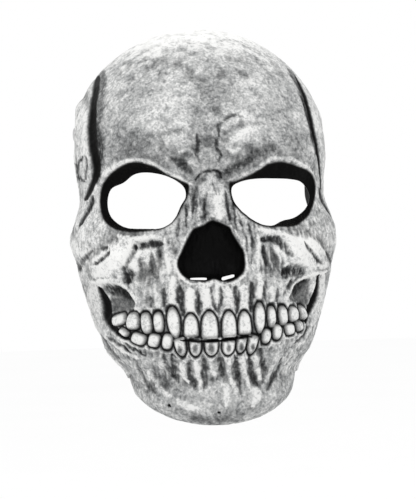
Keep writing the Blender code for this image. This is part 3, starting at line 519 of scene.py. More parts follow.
class Sculpture:
    """Heights and paint over the grid, in units. Tone is the paint's brightness, with painted shade and
    highlights in it; a second field says how worn the paint is and also carries painted shade in the
    hollows.
    """

    def __init__(self, place, across):
        self.x, self.y, self.z = (place[..., k] / UNIT for k in range(3))
        self.front = np.abs(across) < FRONT_SHARE
        self.height = np.zeros(across.shape)
        self.depth = np.zeros(across.shape)
        self.tone = np.full(across.shape, PAPER_WHITE)
        self.grime_and_shade = np.full(across.shape, 0.50)
        self.fray = self.ripple(1.3, 21, 2.5) + 0.6 * self.ripple(0.7, 22, 2.0)
        self.warp_x = self.ripple(6.0, 11) * 0.9 + self.ripple(2.0, 12) * 0.5
        self.warp_z = self.ripple(6.0, 13) * 0.9 + self.ripple(2.0, 14) * 0.5

    def ripple(self, size, seed, stretch=1.0):
        """Soft noise with lumps of one size in units, about -1 to 1. stretch draws the lumps out upright."""
        points = np.stack([self.x / size, self.y / size + seed, self.z / (size * stretch)], axis=-1)
        return np.array([noise.noise(Vector(p)) for p in points.reshape(-1, 3)]).reshape(self.x.shape)

    def pick(self, low, high, margin, side=0):
        """Grid points near a box in front view, or in side view for side -1 or 1."""
        flat = self.y if side else self.x
        where = self.front if not side else (np.sign(self.x) == side) & (np.abs(self.x) > 55)
        where = where & (flat > low[0] - margin) & (flat < high[0] + margin)
        where = where & (self.z > low[1] - margin) & (self.z < high[1] + margin)
        index = np.nonzero(where)
        return index, np.stack([flat[index], self.z[index]], axis=-1)

    def loosened(self, index, places, amount):
        """The same places moved a little at random, so that a shape drawn there is uneven by hand."""
        return places + amount * np.stack([self.warp_x[index], self.warp_z[index]], axis=-1)

    def shade(self, index, fall, shade):
        """Darken or clean the paint, for its own greys and for painted shade and highlights: shade runs from
        -1, black, to 1, clean and light.
        """
        if shade < 0:
            self.tone[index] *= 1 - fall * (1.0 if shade <= BLACK else 0.55 * (-shade) ** 1.3)
            self.grime_and_shade[index] += 0.75 * -shade * fall
        else:
            self.tone[index] += (CLEAN_AND_HIGHLIGHT_WHITE - self.tone[index]) * 0.8 * shade * fall
            self.grime_and_shade[index] *= 1 - 0.85 * shade * fall

    def ellipse(self, x, z, radius_x, radius_z, tilt, margin=0):
        """Grid points near an ellipse, and how far along its two radii they are."""
        reach = max(radius_x, radius_z) + margin
        index, points = self.pick((x - reach, z - reach), (x + reach, z + reach), 0)
        c, s = math.cos(math.radians(tilt)), math.sin(math.radians(tilt))
        u = ((points[:, 0] - x) * c + (points[:, 1] - z) * s) / radius_x
        v = ((points[:, 1] - z) * c - (points[:, 0] - x) * s) / radius_z
        return index, u, v

    def mound(self, x, z, radius_x, radius_z, tilt, height, shade=0.0):
        index, u, v = self.ellipse(x, z, radius_x, radius_z, tilt)
        fall = np.clip(1 - u * u - v * v, 0, 1) ** 1.5
        self.height[index] += height * fall
        self.shade(index, fall, shade)

    def stroke(self, points, width, height, shade, side=0):
        line = smooth_line(points)
        index, places = self.pick(line.min(0), line.max(0), 1.2 * width, side)
        looseness = 0.3 if shade <= BLACK else 1.0
        distance, share, _ = nearest_on_line(self.loosened(index, places, looseness), line)
        taper = 0.3 + 0.7 * np.sqrt(np.clip(4 * share * (1 - share), 0, 1))
        reach = distance / (width / 2 * taper)
        if shade <= BLACK:
            fall = smoothstep((1.5 - reach) / 1.2)
        else:
            fray = 0.6 * self.fray[index] if shade < 0 else 0.25 * self.fray[index] + 0.15
            fall = np.exp(-0.8 * reach ** 3) * np.clip(0.85 + fray, 0.2, 1.0)
        self.height[index] += height * fall * taper
        self.shade(index, fall, shade)

    def pocket(self, outline, slope, depth):
        """A black hollow inside a closed outline."""
        line = smooth_line(outline, closed=True)
        index, places = self.pick(line.min(0), line.max(0), 3)
        distance, _, _ = nearest_on_line(places, line)
        inside = np.where(is_inside(places, line), distance, -distance)
        self.depth[index] += depth * (1 - np.exp(-np.maximum(inside, 0) * slope / depth))
        self.tone[index] *= 1 - smoothstep((inside + 0.9) / 1.7)

    def tooth(self, kind, x, z, half_width, half_height, tilt, upper):
        """A raised crown with a black line round it."""
        index, u, v = self.ellipse(x, z, half_width, half_height, tilt, 3)
        gum = v if upper else -v                 # 1 at the gum, -1 at the biting edge
        places, girths, edge_power, gum_power = CROWNS[kind]
        girth = np.interp(gum, places, girths)
        power = np.where(gum > 0, gum_power, edge_power)
        norm = (np.abs(u / girth) ** power + np.abs(v) ** power) ** (1 / power)
        depth = (1 - norm) * np.minimum(half_width, half_height)
        body = smoothstep((depth + 0.3) / 1.3)
        crown = 1.5 * body + 0.5 * np.clip(1 - norm * norm, 0, 1)
        ring = smoothstep((depth + 1.35) / 0.7) * (1 - smoothstep((depth + 0.45) / 0.6))
        lip = smoothstep((depth + 2.9) / 0.8) * (1 - smoothstep((depth + 1.9) / 0.6)) * smoothstep(gum + 0.2)
        self.height[index] += crown * (norm < 1.2) - 0.6 * ring + 0.35 * lip
        self.shade(index, lip, 0.5)
        inside = smoothstep((depth + 0.45) / 0.7)
        gap = smoothstep((depth + 1.3) / 0.9)
        # painted shade on the crown: grey towards its rim, darker near the gum
        edge = 0.5 + 0.5 * smoothstep((depth + 0.4) / 1.9)
        root = inside * smoothstep((gum - 0.2) / 0.9)
        fields = (self.gap, self.enamel, self.edge_shade, self.root_shade)
        for field, value in zip(fields, (gap, inside, edge, root)):
            field[index] = np.maximum(field[index], value)

    def teeth(self):
        self.gap, self.enamel, self.root_shade = (np.zeros(self.x.shape) for _ in range(3))
        self.edge_shade = np.full(self.x.shape, 0.5)
        for tooth in UPPER_TEETH:
            self.tooth(*tooth, True)
        for tooth in LOWER_TEETH:
            self.tooth(*tooth, False)
        self.tone *= 1 - 0.88 * self.gap * (1 - self.enamel)
        # painted shade: each crown greyer towards its rim, and a little darker towards the gum
        self.tone += (CLEAN_AND_HIGHLIGHT_WHITE * self.edge_shade - self.tone) * self.enamel
        self.tone *= 1 - 0.12 * self.root_shade
        self.grime_and_shade = self.grime_and_shade * (1 - self.enamel) - 0.02 * self.enamel
        for x, z, reach in LOWER_STAINS:
            self.mound(x, z, reach, 1.8 * reach, 0, -0.2, -0.8)
        for stroke in BITE:
            self.stroke(*stroke)

    def weather_and_shade(self):
        """Small lumps over the whole skin; the paint is darker wherever the skin is low and cleaner where it
        is high, partly a wash and partly painted shade and painted highlight.
        """
        lumps = 0.6 * self.ripple(7.0, 0) + 0.4 * self.ripple(2.6, 0)
        self.height += lumps * 0.5 * (1 - 0.8 * self.enamel)
        bony = smoothstep((self.z + 125) / 15) * smoothstep((14 - self.z) / 14)
        bony *= 0.5 + 0.5 * smoothstep((74 - abs(self.x)) / 8)
        streaks = self.ripple(1.5, 31, 5.0) + 0.8 * self.ripple(2.6, 32, 4.0)
        self.height += 0.42 * streaks * bony * (1 - self.enamel)
        cavity = blurred(self.height, 5) - self.height + 0.6 * (blurred(self.height, 14) - self.height)
        low, high = np.clip(cavity, 0, 1.3), np.clip(-cavity, 0, 0.6)
        bare = 1 - self.enamel
        # painted shade in the hollows, partly a dark wash, and a painted highlight on the high places
        self.grime_and_shade = np.clip(self.grime_and_shade + (0.35 * low - 0.30 * high - 0.15 * lumps) * bare, -0.3, 1.5)
        self.tone *= 1 - 0.38 * np.clip(low, 0, 1) * bare

    def wash_and_painted_light(self):
        """Broad greys of the paint, and painted light that makes the crown clean and bright."""
        for x, z, radius_x, radius_z, grime_and_shade, tone in WASHES_AND_PAINTED_LIGHT:
            fall = np.exp(-((self.x - x) / radius_x) ** 2 - ((self.z - z) / radius_z) ** 2)
            self.grime_and_shade += grime_and_shade * fall
            self.tone *= 1 + tone * fall


def open_skin(place):
    """Draw the cells round each opening onto its outline. Returns which cells are kept."""
    centre = 0.25 * (place[:-1, :-1] + place[1:, :-1] + place[:-1, 1:] + place[1:, 1:])
    kept = np.ones(centre.shape[:2], bool)
    in_front = centre[..., 1] < FACE_Y * UNIT
    openings = [(smooth_line(outline, closed=True, per_span=6) * UNIT, 0, in_front)
                for outline in (LEFT_EYE_HOLE, RIGHT_EYE_HOLE, LEFT_SLIT, RIGHT_SLIT)]
    turns = np.linspace(0, 2 * math.pi, 12, endpoint=False)
    rivet_hole = smooth_line([(ANCHOR.y + HOLE_RADIUS * math.cos(t), ANCHOR.z + HOLE_RADIUS * math.sin(t))
                              for t in turns], closed=True, per_span=2)
    openings += [(rivet_hole, 1, centre[..., 0] < 0), (rivet_hole, 1, centre[..., 0] > 0)]
    for line, axis, reachable in openings:
        inside = is_inside(centre[..., [axis, 2]].reshape(-1, 2), line).reshape(kept.shape) & reachable
        kept &= ~inside
        touched, free = np.zeros((2, *place.shape[:2]), bool)
        for rows in (slice(0, -1), slice(1, None)):
            for columns in (slice(0, -1), slice(1, None)):
                touched[rows, columns] |= inside
                free[rows, columns] |= ~inside
        index = np.nonzero(touched & free)
        flat = place[index][:, [axis, 2]]
        want = nearest_on_line(flat, line)[2] - flat
        down, over = np.gradient(place, axis=0)[index], np.gradient(place, axis=1)[index]
        cross = over[:, axis] * down[:, 2] - down[:, axis] * over[:, 2]
        a = (want[:, 0] * down[:, 2] - down[:, axis] * want[:, 1]) / cross
        b = (over[:, axis] * want[:, 1] - want[:, 0] * over[:, 2]) / cross
        place[index] += a[:, None] * over + b[:, None] * down
    return kept


def sculpt(place, across):
    work = Sculpture(place, across)
    work.wash_and_painted_light()
    for form in FORMS:
        work.mound(*form)
    for stroke in STROKES:
        work.stroke(*stroke)
    for stroke in SIDE_STROKES:
        for side in (-1, 1):
            work.stroke(*stroke, side)
    work.teeth()
    work.pocket(LEFT_SOCKET, 1.6, 9.0)
    work.pocket(RIGHT_SOCKET, 1.6, 9.0)
    work.pocket(NOSE_POCKET, 2.0, 11.0)
    work.weather_and_shade()
    return work


def shell_faces(kept):
    """Faces of the outside, then of the lining and the walls of every cut edge."""
    size = (kept.shape[0] + 1) * (kept.shape[1] + 1)
    index = np.arange(size).reshape(kept.shape[0] + 1, -1)
    corners = [index[:-1, :-1], index[:-1, 1:], index[1:, 1:], index[1:, :-1]]
    outer = np.stack([c[kept] for c in corners], axis=-1)
    edges = np.concatenate([outer[:, [k, (k + 1) % 4]] for k in range(4)])
    low, high = np.sort(edges, axis=1).T
    _, first, times = np.unique(low * size + high, return_index=True, return_counts=True)
    rim = edges[first[times == 1]]
    walls = np.concatenate([rim[:, ::-1], rim + size], axis=1)
    return outer, np.concatenate([outer[:, ::-1] + size, walls])


def build_skin():
    across, along = skin_grid()
    place, near = base_surface(across, along)
    kept = open_skin(place)
    flat = np.stack([np.sign(across), 0 * across, 0 * across], axis=-1)
    normal = unit_vectors(surface_normals(place) * (1 - near[..., None]) + flat * near[..., None])
    work = sculpt(place, across)
    height = work.height * (1 - near) * UNIT
    sunk = place + INWARD * (work.depth * UNIT)[..., None]
    outside = sunk + normal * height[..., None]
    lining = blurred(over_neighbours(height, 3, np.min), 2)
    deep = smoothstep(work.depth / 4)[..., None]
    through = unit_vectors(INWARD * deep - normal * (1 - deep))
    inside = sunk + normal * lining[..., None] + through * SKIN
    painted, unpainted = shell_faces(kept)
    used, faces = np.unique(np.concatenate([painted, unpainted]), return_inverse=True)
    vertices = np.concatenate([outside.reshape(-1, 3), inside.reshape(-1, 3)])[used]
    mesh = bpy.data.meshes.new("latex_skin")
    mesh.from_pydata(vertices.tolist(), [], faces.reshape(-1, 4).tolist())
    round_eyes = smoothstep((SPRAY_REACH - np.abs(work.z - SPRAY_Z + 4 * work.warp_z)) / SPRAY_EDGE)
    spray = np.maximum(round_eyes, smoothstep(blurred(work.depth, 12) / 0.3))
    # the paint's greys go out together with its painted shade and highlights
    for name, field in (("tone", work.tone), ("grime_and_shade", work.grime_and_shade), ("spray", spray)):
        add_attribute(mesh, name, np.tile(field.ravel(), 2)[used])
    for material in (painted_latex(), raw_latex()):
        mesh.materials.append(material)
    slots = np.repeat([0, 1], [len(painted), len(unpainted)])
    mesh.polygons.foreach_set("material_index", slots.astype(np.int32))
    mesh.validate()
    mesh.shade_smooth()
    place_piece(add_object("latex_skin", mesh), "mask", "face_skin")


# ------------------------------ strap, pad and fittings

class StrapFrame:
    """Places on the adjustable side: along the strap, out from the ring's middle, up from the strap's."""

    def __init__(self, middle_x):
        self.start = np.array([-middle_x, BEND_Y])
        self.along = np.array([SLANT_X, SLANT_Y])
        self.out = np.array([-SLANT_Y, SLANT_X])

    def at(self, along, out):
        return self.start + self.along * along + self.out * out

    def place(self, along, out, up):
        return Vector((*self.at(along, out), ANCHOR.z + up))

    def turn(self, along, out, radius, start, end, count=24):
        """Arc about a point: 0 degrees points along the strap, 90 outwards."""
        turns = np.radians(np.linspace(start, end, count + 1))
        return [self.at(along + radius * math.cos(t), out + radius * math.sin(t)) for t in turns]


def slanted_side(start, side):
    """Straight side from a start point and the corner behind the head, which ends square to it."""
    corner_y = STRAP_REAR_Y + STRAP_THICK / 2 - STRAP_CORNER
    run = (corner_y + STRAP_CORNER * SLANT_X - start[1]) / SLANT_Y
    end = start + np.array([-side * SLANT_X, SLANT_Y]) * run
    centre = end - np.array([side * SLANT_Y, SLANT_X]) * STRAP_CORNER
    turns = np.linspace(STRAP_SLANT, math.pi / 2, 30)
    return [centre + np.array([side * math.cos(t), math.sin(t)]) * STRAP_CORNER for t in turns]


def evenly(path, step):
    """The same path with points one step apart, its corners eased."""
    path = np.array(path, float)
    ends = np.concatenate([[0], np.cumsum(np.linalg.norm(np.diff(path, axis=0), axis=1))])
    at = np.linspace(0, ends[-1], max(int(ends[-1] / step), 4) + 1)
    line = np.stack([np.interp(at, ends, path[:, k]) for k in range(path.shape[1])], axis=-1)
    eased = line.copy()
    eased[1:-1] = 0.25 * line[:-2] + 0.5 * line[1:-1] + 0.25 * line[2:]
    return eased


def add_piece(name, vertices, faces, material, body, node):
    mesh = bpy.data.meshes.new(name)
    mesh.from_pydata([tuple(v) for v in vertices], [], faces)
    shape = bmesh.new()
    shape.from_mesh(mesh)
    bmesh.ops.recalc_face_normals(shape, faces=shape.faces)
    shape.to_mesh(mesh)
    shape.free()
    mesh.shade_smooth()
    mesh.materials.append(material)
    piece = add_object(name, mesh)
    place_piece(piece, body, node)
    return piece


def cut_hole(piece, side):
    """Punch the rivet's hole through a piece on one side."""
    place = Matrix.Translation((side * (ANCHOR.x - 5 * MM), ANCHOR.y, ANCHOR.z))
    shape = bmesh.new()
    bmesh.ops.create_cone(shape, cap_ends=True, segments=24, radius1=HOLE_RADIUS, radius2=HOLE_RADIUS,
                          depth=12 * MM, matrix=place @ Matrix.Rotation(math.pi / 2, 4, "Y"))
    punch = add_object("punch", bpy.data.meshes.new("punch"))
    shape.to_mesh(punch.data)
    shape.free()
    piece.modifiers.new("punch", "BOOLEAN").object = punch
    apply_modifiers(piece)
    bpy.data.objects.remove(punch)


def woven_strip(name, path, webbing, body, node):
    """A strip of webbing: cords running along it, thin selvedges, and its places kept for the weave."""
    thickness, ribs, material, slot = webbing
    line = evenly(path, 0.8 * MM)
    tangent = unit_vectors(np.gradient(line, axis=0))
    normal = np.stack([-tangent[:, 1], tangent[:, 0]], axis=-1)
    columns = 6 * ribs
    share = np.linspace(-1, 1, columns + 1)
    groove = 0.11 * thickness * (1 + np.cos(math.pi * ribs * (share + 1)))
    half = (thickness / 2 - groove) * (1 - 0.55 * np.abs(share) ** 30)
    rows = len(line)
    rings = []
    for sign, order in ((1, slice(None)), (-1, slice(None, None, -1))):
        flat = line[:, None, :] + sign * normal[:, None, :] * half[None, order, None]
        up = np.broadcast_to(ANCHOR.z + share[order] * STRAP_WIDTH / 2, flat.shape[:2])
        rings.append(np.concatenate([flat, up[..., None]], axis=-1))
    rings = np.concatenate(rings, axis=1)
    ring = rings.shape[1]
    faces = ring_faces(rows, ring)
    for start in (0, (rows - 1) * ring):
        end = start + ring - 1
        faces += [(start + k, start + k + 1, end - 1 - k, end - k) for k in range(columns)]
    piece = add_piece(name, rings.reshape(-1, 3), faces, material, body, node)
    lengths = np.concatenate([[0], np.cumsum(np.linalg.norm(np.diff(line, axis=0), axis=1))])
    across = np.concatenate([share, share[::-1]]) * STRAP_WIDTH / 2
    add_attribute(piece.data, "along", np.repeat(lengths, ring))
    add_attribute(piece.data, "across", np.tile(across, rows))
    return piece


def build_strap(left, right_x, elastic):
    """The long strip from the right rivet, round the head and through the ring."""
    bend = np.array([right_x, BEND_Y])
    path = [(right_x, STRAP_FRONT_Y), bend]
    path += slanted_side(bend, 1)
    path += slanted_side(left.at(0, RUN_HEIGHT), -1)[::-1]
    path += left.turn(RING_REAR, 0, TURN_RADIUS, 270, 90)
    path.append(left.at(RETURN_START - GAP, TURN_RADIUS))
    strap = woven_strip("elastic_strap", path, elastic, "strap", "head_strap")
    cut_hole(strap, 1)


def build_return(left, elastic):
    """The layer doubled back from the ring, which shortens as the slider moves towards it."""
    path = [left.at(RETURN_START, TURN_RADIUS), left.at(END_START - GAP, RETURN_HEIGHT)]
    back = woven_strip("elastic_return", path, elastic, "strap", "strap_return")
    left.place(RETURN_START, 0, 0)
    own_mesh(back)


def build_end(left, elastic):
    """The strap's end, folded round the slider's bar."""
    path = [left.at(END_START, RETURN_HEIGHT), left.at(SLIDER_AT, RETURN_HEIGHT)]
    path += left.turn(SLIDER_AT, BAR_HEIGHT, BAR_TURN, 90, -90)[1:]
    path.append(left.at(SLIDER_AT - 3.5 * MM, BAR_HEIGHT - BAR_TURN))
    path += [left.at(along, RETURN_HEIGHT - LAYER) for along in (SLIDER_AT - 5.5 * MM, END_START)]
    woven_strip("elastic_end", path, elastic, "slider", "strap_end")


def build_tab(left, inner_x):
    """The loop of tape from the left rivet round the ring and back."""
    half = (TAB_THICK + GAP) / 2
    outer_x = inner_x - 2 * half
    fold = RING_FRONT - 4.5 * MM
    path = [(outer_x, STRAP_FRONT_Y), (outer_x, BEND_Y), left.at(fold, half)]
    path += left.turn(RING_FRONT, 0, WIRE_RADIUS + GAP + TAB_THICK / 2, 130, -130)
    path += [left.at(fold, -half), (inner_x, BEND_Y), (inner_x, STRAP_FRONT_Y)]
    tape = (TAB_THICK, 10, woven_tape(), "webbing")
    tab = woven_strip("tape_tab", path, tape, "strap", "strap_tab")
    cut_hole(tab, -1)


def build_straps():
    patch_in = ANCHOR.x - SKIN - GAP - PATCH_THICK
    tab_in = patch_in - 2 * GAP - 2 * TAB_THICK
    left = StrapFrame(tab_in + TAB_THICK + GAP / 2)
    elastic = (STRAP_THICK, 14, woven_elastic(), "elastic")
    build_strap(left, patch_in - GAP - STRAP_THICK / 2, elastic)
    build_return(left, elastic)
    build_end(left, elastic)
    build_tab(left, -(tab_in + TAB_THICK / 2))
    bar_tack("tab_tack", left, 1.8 * MM, TAB_THICK + GAP / 2, "strap", "tab_stitching")
    bar_tack("end_tack", left, SLIDER_AT - 6.5 * MM, RETURN_HEIGHT + STRAP_THICK / 2, "slider",
             "strap_end_stitching")


def bar_tack(name, left, along, height, body, node):
    """Dense zigzag of thread over a second, slightly wider zigzag, sunk into the webbing at each turn."""
    half_width, reach, thread = 7.3 * MM, 0.75 * MM, 0.2 * MM
    curve = bpy.data.curves.new(name, "CURVE")
    curve.dimensions = "3D"
    curve.bevel_depth = thread
    curve.bevel_resolution = 3
    curve.use_fill_caps = True
    for lift, turns, spread in ((0.16 * MM, 34, reach), (0.34 * MM, 30, 0.92 * reach)):
        points = []
        for k in range(2 * turns + 1):
            up = half_width * (k / turns - 1)
            points.append((along + spread * (1 if k % 2 else -1), height - 0.05 * MM, up))
            if k < 2 * turns:
                points.append((along, height + lift + 0.1 * MM, up + half_width / (2 * turns)))
        spline = curve.splines.new("POLY")
        spline.points.add(len(points) - 1)
        for target, point in zip(spline.points, points):
            target.co = (*left.place(*point), 1.0)
    curve.materials.append(sewing_thread())
    place_piece(add_object(name, curve), body, node)


def build_patches():
    """Round canvas patches inside the skin, thinner at the rim, with the rivet's dimple pressed in."""
    canvas = woven_canvas()
    steps = 72
    outer = ANCHOR.x - SKIN - GAP
    profile = [(HOLE_RADIUS, 0.10), (3.0 * MM, 0.06), (5.4 * MM, 0.02), (6.2 * MM, 0.0), (8.0 * MM, 0.0),
               (10.0 * MM, 0.0), (11.3 * MM, 0.02), (PATCH_RADIUS, 0.12)]
    rings = [(radius, outer - PATCH_THICK + inset * MM) for radius, inset in profile]
    rings += [(radius, outer - inset * MM) for radius, inset in reversed(profile)]
    faces = ring_faces(len(rings), steps, closed=True)
    for side, name in ((-1, "left"), (1, "right")):
        vertices = []
        for radius, x in rings:
            for t in np.linspace(0, 2 * math.pi, steps, endpoint=False):
                vertices.append((side * x, ANCHOR.y + radius * math.cos(t), ANCHOR.z + radius * math.sin(t)))
        patch = add_piece(f"canvas_patch_{name}", vertices, faces, canvas, "mask",
                          f"anchor_patch_{name}")


def build_pad():
    """Foam pad: the CAD block remeshed, puffed up a little as cloth, then pitted with open cells."""
    pad = add_object("foam_pad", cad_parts["forehead_pad"].data.copy())
    low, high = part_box("forehead_pad")
    centre = (low + high) / 2
    for vertex in pad.data.vertices:
        vertex.co = centre + (vertex.co - centre) * 0.965
    remesh = pad.modifiers.new("remesh", "REMESH")
    remesh.mode = "VOXEL"
    remesh.voxel_size = 2.4 * MM
    apply_modifiers(pad)
    start = np.array([v.co for v in pad.data.vertices])
    puff_up(pad)
    move = np.array([v.co for v in pad.data.vertices]) - start
    far = np.maximum(np.linalg.norm(move, axis=1, keepdims=True), 1e-9)
    places = start + move * np.minimum(1, 0.9 * MM / far)
    places = np.clip(places, np.array(low) + 0.1 * MM, np.array(high) - 0.1 * MM)
    pad.data.vertices.foreach_set("co", places.astype(np.float32).ravel())
    pad.modifiers.new("divide", "SUBSURF").levels = 2
    apply_modifiers(pad)
    for vertex, normal in zip(pad.data.vertices, [v.normal.copy() for v in pad.data.vertices]):
        cell = noise.noise(vertex.co / (1.3 * MM)) + 0.5 * noise.noise(vertex.co / (0.7 * MM))
        vertex.co -= normal * max(cell, 0) * 0.35 * MM
    pad.data.shade_smooth()
    pad.data.materials.clear()
    pad.data.materials.append(grey_foam())
    place_piece(pad, "mask", "forehead_pad")


def puff_up(piece):
    """Cloth with air pressure and no gravity for a few frames, then applied."""
    cloth = piece.modifiers.new("cloth", "CLOTH")
    cloth.settings.use_pressure = True
    cloth.settings.uniform_pressure_force = 4.0
    cloth.settings.effector_weights.gravity = 0.0
    cloth.settings.quality = 4
    cloth.point_cache.frame_start, cloth.point_cache.frame_end = 1, 20
    for number in range(1, 21):
        bpy.context.scene.frame_set(number)
    apply_modifiers(piece)
    bpy.context.scene.frame_set(1)


def finish_fittings():
    """Better materials, and softened edges, for the CAD pieces that stay."""
    finishes = {"strap_ring": chromed_wire(), "strap_slider": moulded_plastic()}
    steel = brushed_steel()
    for name in ("rivet_cap_left", "rivet_cap_right", "rivet_post_left", "rivet_post_right"):
        finishes[name] = steel
    for name, material in finishes.items():
        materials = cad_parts[name].data.materials
        materials.clear()
        materials.append(material)
    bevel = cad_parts["strap_slider"].modifiers.new("edges", "BEVEL")
    bevel.width = 0.25 * MM
    bevel.segments = 3
    bevel.limit_method = "ANGLE"


# ------------------------------ materials

class Nodes:
    """A material with its shader, and short ways to add and link nodes."""

    def __init__(self, name, **sockets):
        self.material = bpy.data.materials.new(name)
        self.material.use_nodes = True
        self.tree = self.material.node_tree
        self.shader = self.tree.nodes["Principled BSDF"]
        for socket, value in sockets.items():
            self.shader.inputs[socket.replace("_", " ")].default_value = value

    def add(self, kind, inputs=None, **settings):
        node = self.tree.nodes.new("ShaderNode" + kind)
        for name, value in settings.items():
            setattr(node, name, value)
        for name, value in (inputs or {}).items():
            if isinstance(value, bpy.types.NodeSocket):
                self.tree.links.new(value, node.inputs[name])
            else:
                node.inputs[name].default_value = value
        return node

    def math(self, operation, a, b=0.0, c=0.0, clamp=False):
        node = self.add("Math", {0: a, 1: b, 2: c}, operation=operation, use_clamp=clamp)
        return node.outputs[0]

    def times(self, value, factor, plus=0.0):
        return self.math("MULTIPLY_ADD", value, factor, plus)

    def place(self):
        return self.add("TexCoord").outputs["Object"]

    def attribute(self, name):
        return self.add("Attribute", attribute_name=name).outputs["Fac"]

    def noise(self, scale, detail=3.0, roughness=0.55, distortion=0.0, place=None):
        inputs = {"Scale": scale, "Detail": detail, "Roughness": roughness, "Distortion": distortion,
                  "Vector": place or self.place()}
        return self.add("TexNoise", inputs).outputs["Fac"]

    def blend(self, share, first, second):
        """Mix of two colours."""
        first, second = (v if isinstance(v, bpy.types.NodeSocket) else (*v, 1.0) for v in (first, second))
        return self.add("Mix", {0: share, 6: first, 7: second}, data_type="RGBA").outputs[2]

    def spread(self, value, low, high, start=0.0, end=1.0):
        inputs = {"Value": value, "From Min": low, "From Max": high, "To Min": start, "To Max": end}
        return self.add("MapRange", inputs, interpolation_type="SMOOTHSTEP").outputs[0]

    def colour(self, value):
        self.tree.links.new(value, self.shader.inputs["Base Color"])

    def roughness(self, value):
        self.tree.links.new(value, self.shader.inputs["Roughness"])

    def bump(self, height, distance, strength=1.0):
        node = self.add("Bump", {"Height": height, "Distance": distance, "Strength": strength})
        self.tree.links.new(node.outputs[0], self.shader.inputs["Normal"])


def painted_latex():
    """White paint brushed over dark latex, worn away in specks where the skin is low; the attributes it
    reads also hold painted shade in the hollows and painted highlights on ridges and over the crown.
    """
    m = Nodes("painted_latex", Specular_IOR_Level=0.08)
    tone = m.attribute("tone")
    grime_and_shade = m.attribute("grime_and_shade")
    fine = m.noise(560, 2.0, 0.6, 0.6)
    middle = m.noise(210, 2.0, 0.5, 1.2)
    broad = m.noise(60, 4.0, 0.6)
    grain = m.times(fine, 0.6, m.times(middle, 0.4))
    swirl = m.times(broad, 0.8, m.times(grain, 1.9))
    # the specks show the worn paint, and grow darker where the attributes carry painted shade
    wear_and_shade = m.math("ADD", m.times(grime_and_shade, 0.6, -1.30), swirl, clamp=True)
    bright = m.times(tone, m.times(wear_and_shade, -0.66, 1.0))
    grey = m.math("POWER", bright, 2.2)
    tint = m.blend(wear_and_shade, (1.0, 1.0, 0.985), (0.95, 0.985, 1.0))
    m.colour(m.add("VectorMath", {0: tint, "Scale": grey}, operation="SCALE").outputs[0])
    m.roughness(m.spread(grain, 0.2, 0.8, 0.48, 0.68))
    m.bump(grain, 0.25 * MM, 0.5)
    return m.material


def raw_latex():
    """The inside of the casting, sprayed black round the eyes and behind the nose."""
    m = Nodes("raw_latex", Specular_IOR_Level=0.10)
    broad = m.noise(28, 4.0, 0.6)
    fine = m.noise(600, 3.0, 0.6)
    colour = m.blend(m.spread(broad, 0.3, 0.7), (0.60, 0.55, 0.44), (0.70, 0.66, 0.56))
    speckled = m.blend(m.spread(fine, 0.55, 0.8, 0.0, 0.35), colour, (0.42, 0.38, 0.30))
    spray = m.attribute("spray")
    misted = m.math("MULTIPLY_ADD", spray, 1.8, m.times(fine, -0.8), clamp=True)
    m.colour(m.blend(misted, speckled, (0.003, 0.003, 0.003)))
    m.roughness(m.spread(fine, 0.2, 0.8, 0.45, 0.65))
    m.bump(m.times(broad, 2.0, fine), 0.2 * MM, 0.5)
    return m.material


def weave(name, cord, pick, dark, light, sheen, depth):
    """Webbing: cords along it, picks across them, a few pale fibres. cord and pick are their spacings."""
    m = Nodes(name, Sheen_Weight=sheen, Sheen_Roughness=0.4, Specular_IOR_Level=0.3)
    along = m.attribute("along")
    across = m.attribute("across")
    u = m.times(across, math.pi / cord)
    v = m.times(along, math.pi / pick)
    offset = m.times(m.math("ROUND", m.math("DIVIDE", across, cord)), math.pi / 2)
    over = m.math("ABSOLUTE", m.math("SINE", m.math("ADD", v, offset)))
    round_cord = m.math("ABSOLUTE", m.math("COSINE", u))
    thread = m.times(m.math("POWER", over, 0.6), m.math("POWER", round_cord, 0.5))
    fibre = m.noise(2600, 2.0)
    worn = m.times(fibre, 0.5, m.times(thread, 0.7))
    m.colour(m.blend(m.spread(worn, 0.3, 1.0), dark, light))
    m.roughness(m.spread(fibre, 0.2, 0.8, 0.7, 0.95))
    m.bump(m.times(fibre, 0.2, thread), depth, 0.8)
    return m.material


def woven_elastic():
    dark, light = (0.006, 0.006, 0.007), (0.034, 0.034, 0.036)
    return weave("woven_elastic", 0.71 * MM, 0.75 * MM, dark, light, 0.35, 0.2 * MM)


def woven_tape():
    dark, light = (0.008, 0.008, 0.009), (0.045, 0.045, 0.047)
    return weave("woven_tape", 1.0 * MM, 0.9 * MM, dark, light, 0.3, 0.25 * MM)


def woven_canvas():
    """Plain weave in the patch's own plane."""
    m = Nodes("woven_canvas", Sheen_Weight=0.2, Specular_IOR_Level=0.2)
    split = m.add("SeparateXYZ", {0: m.place()})
    warp = m.math("SINE", m.times(split.outputs[1], math.pi / (0.5 * MM)))
    weft = m.math("SINE", m.times(split.outputs[2], math.pi / (0.5 * MM)))
    thread = m.times(m.times(warp, weft), 0.5, 0.5)
    fibre = m.noise(2200, 2.0)
    stain = m.noise(120, 3.0)
    shade = m.times(fibre, 0.5, m.times(stain, 0.4, m.times(thread, 0.5)))
    m.colour(m.blend(m.spread(shade, 0.3, 1.1), (0.012, 0.012, 0.012), (0.075, 0.073, 0.070)))
    m.roughness(m.spread(fibre, 0.2, 0.8, 0.8, 0.95))
    m.bump(thread, 0.2 * MM, 0.8)
    return m.material


def sewing_thread():
    m = Nodes("sewing_thread", Sheen_Weight=0.3, Specular_IOR_Level=0.4)
    inputs = {"Scale": 900.0, "Distortion": 0.6, "Vector": m.place()}
    twist = m.add("TexWave", inputs, bands_direction="DIAGONAL").outputs["Fac"]
    m.colour(m.blend(twist, (0.035, 0.035, 0.036), (0.11, 0.11, 0.112)))
    m.roughness(m.spread(m.noise(2500), 0.2, 0.8, 0.5, 0.75))
    m.bump(twist, 0.05 * MM, 0.6)
    return m.material


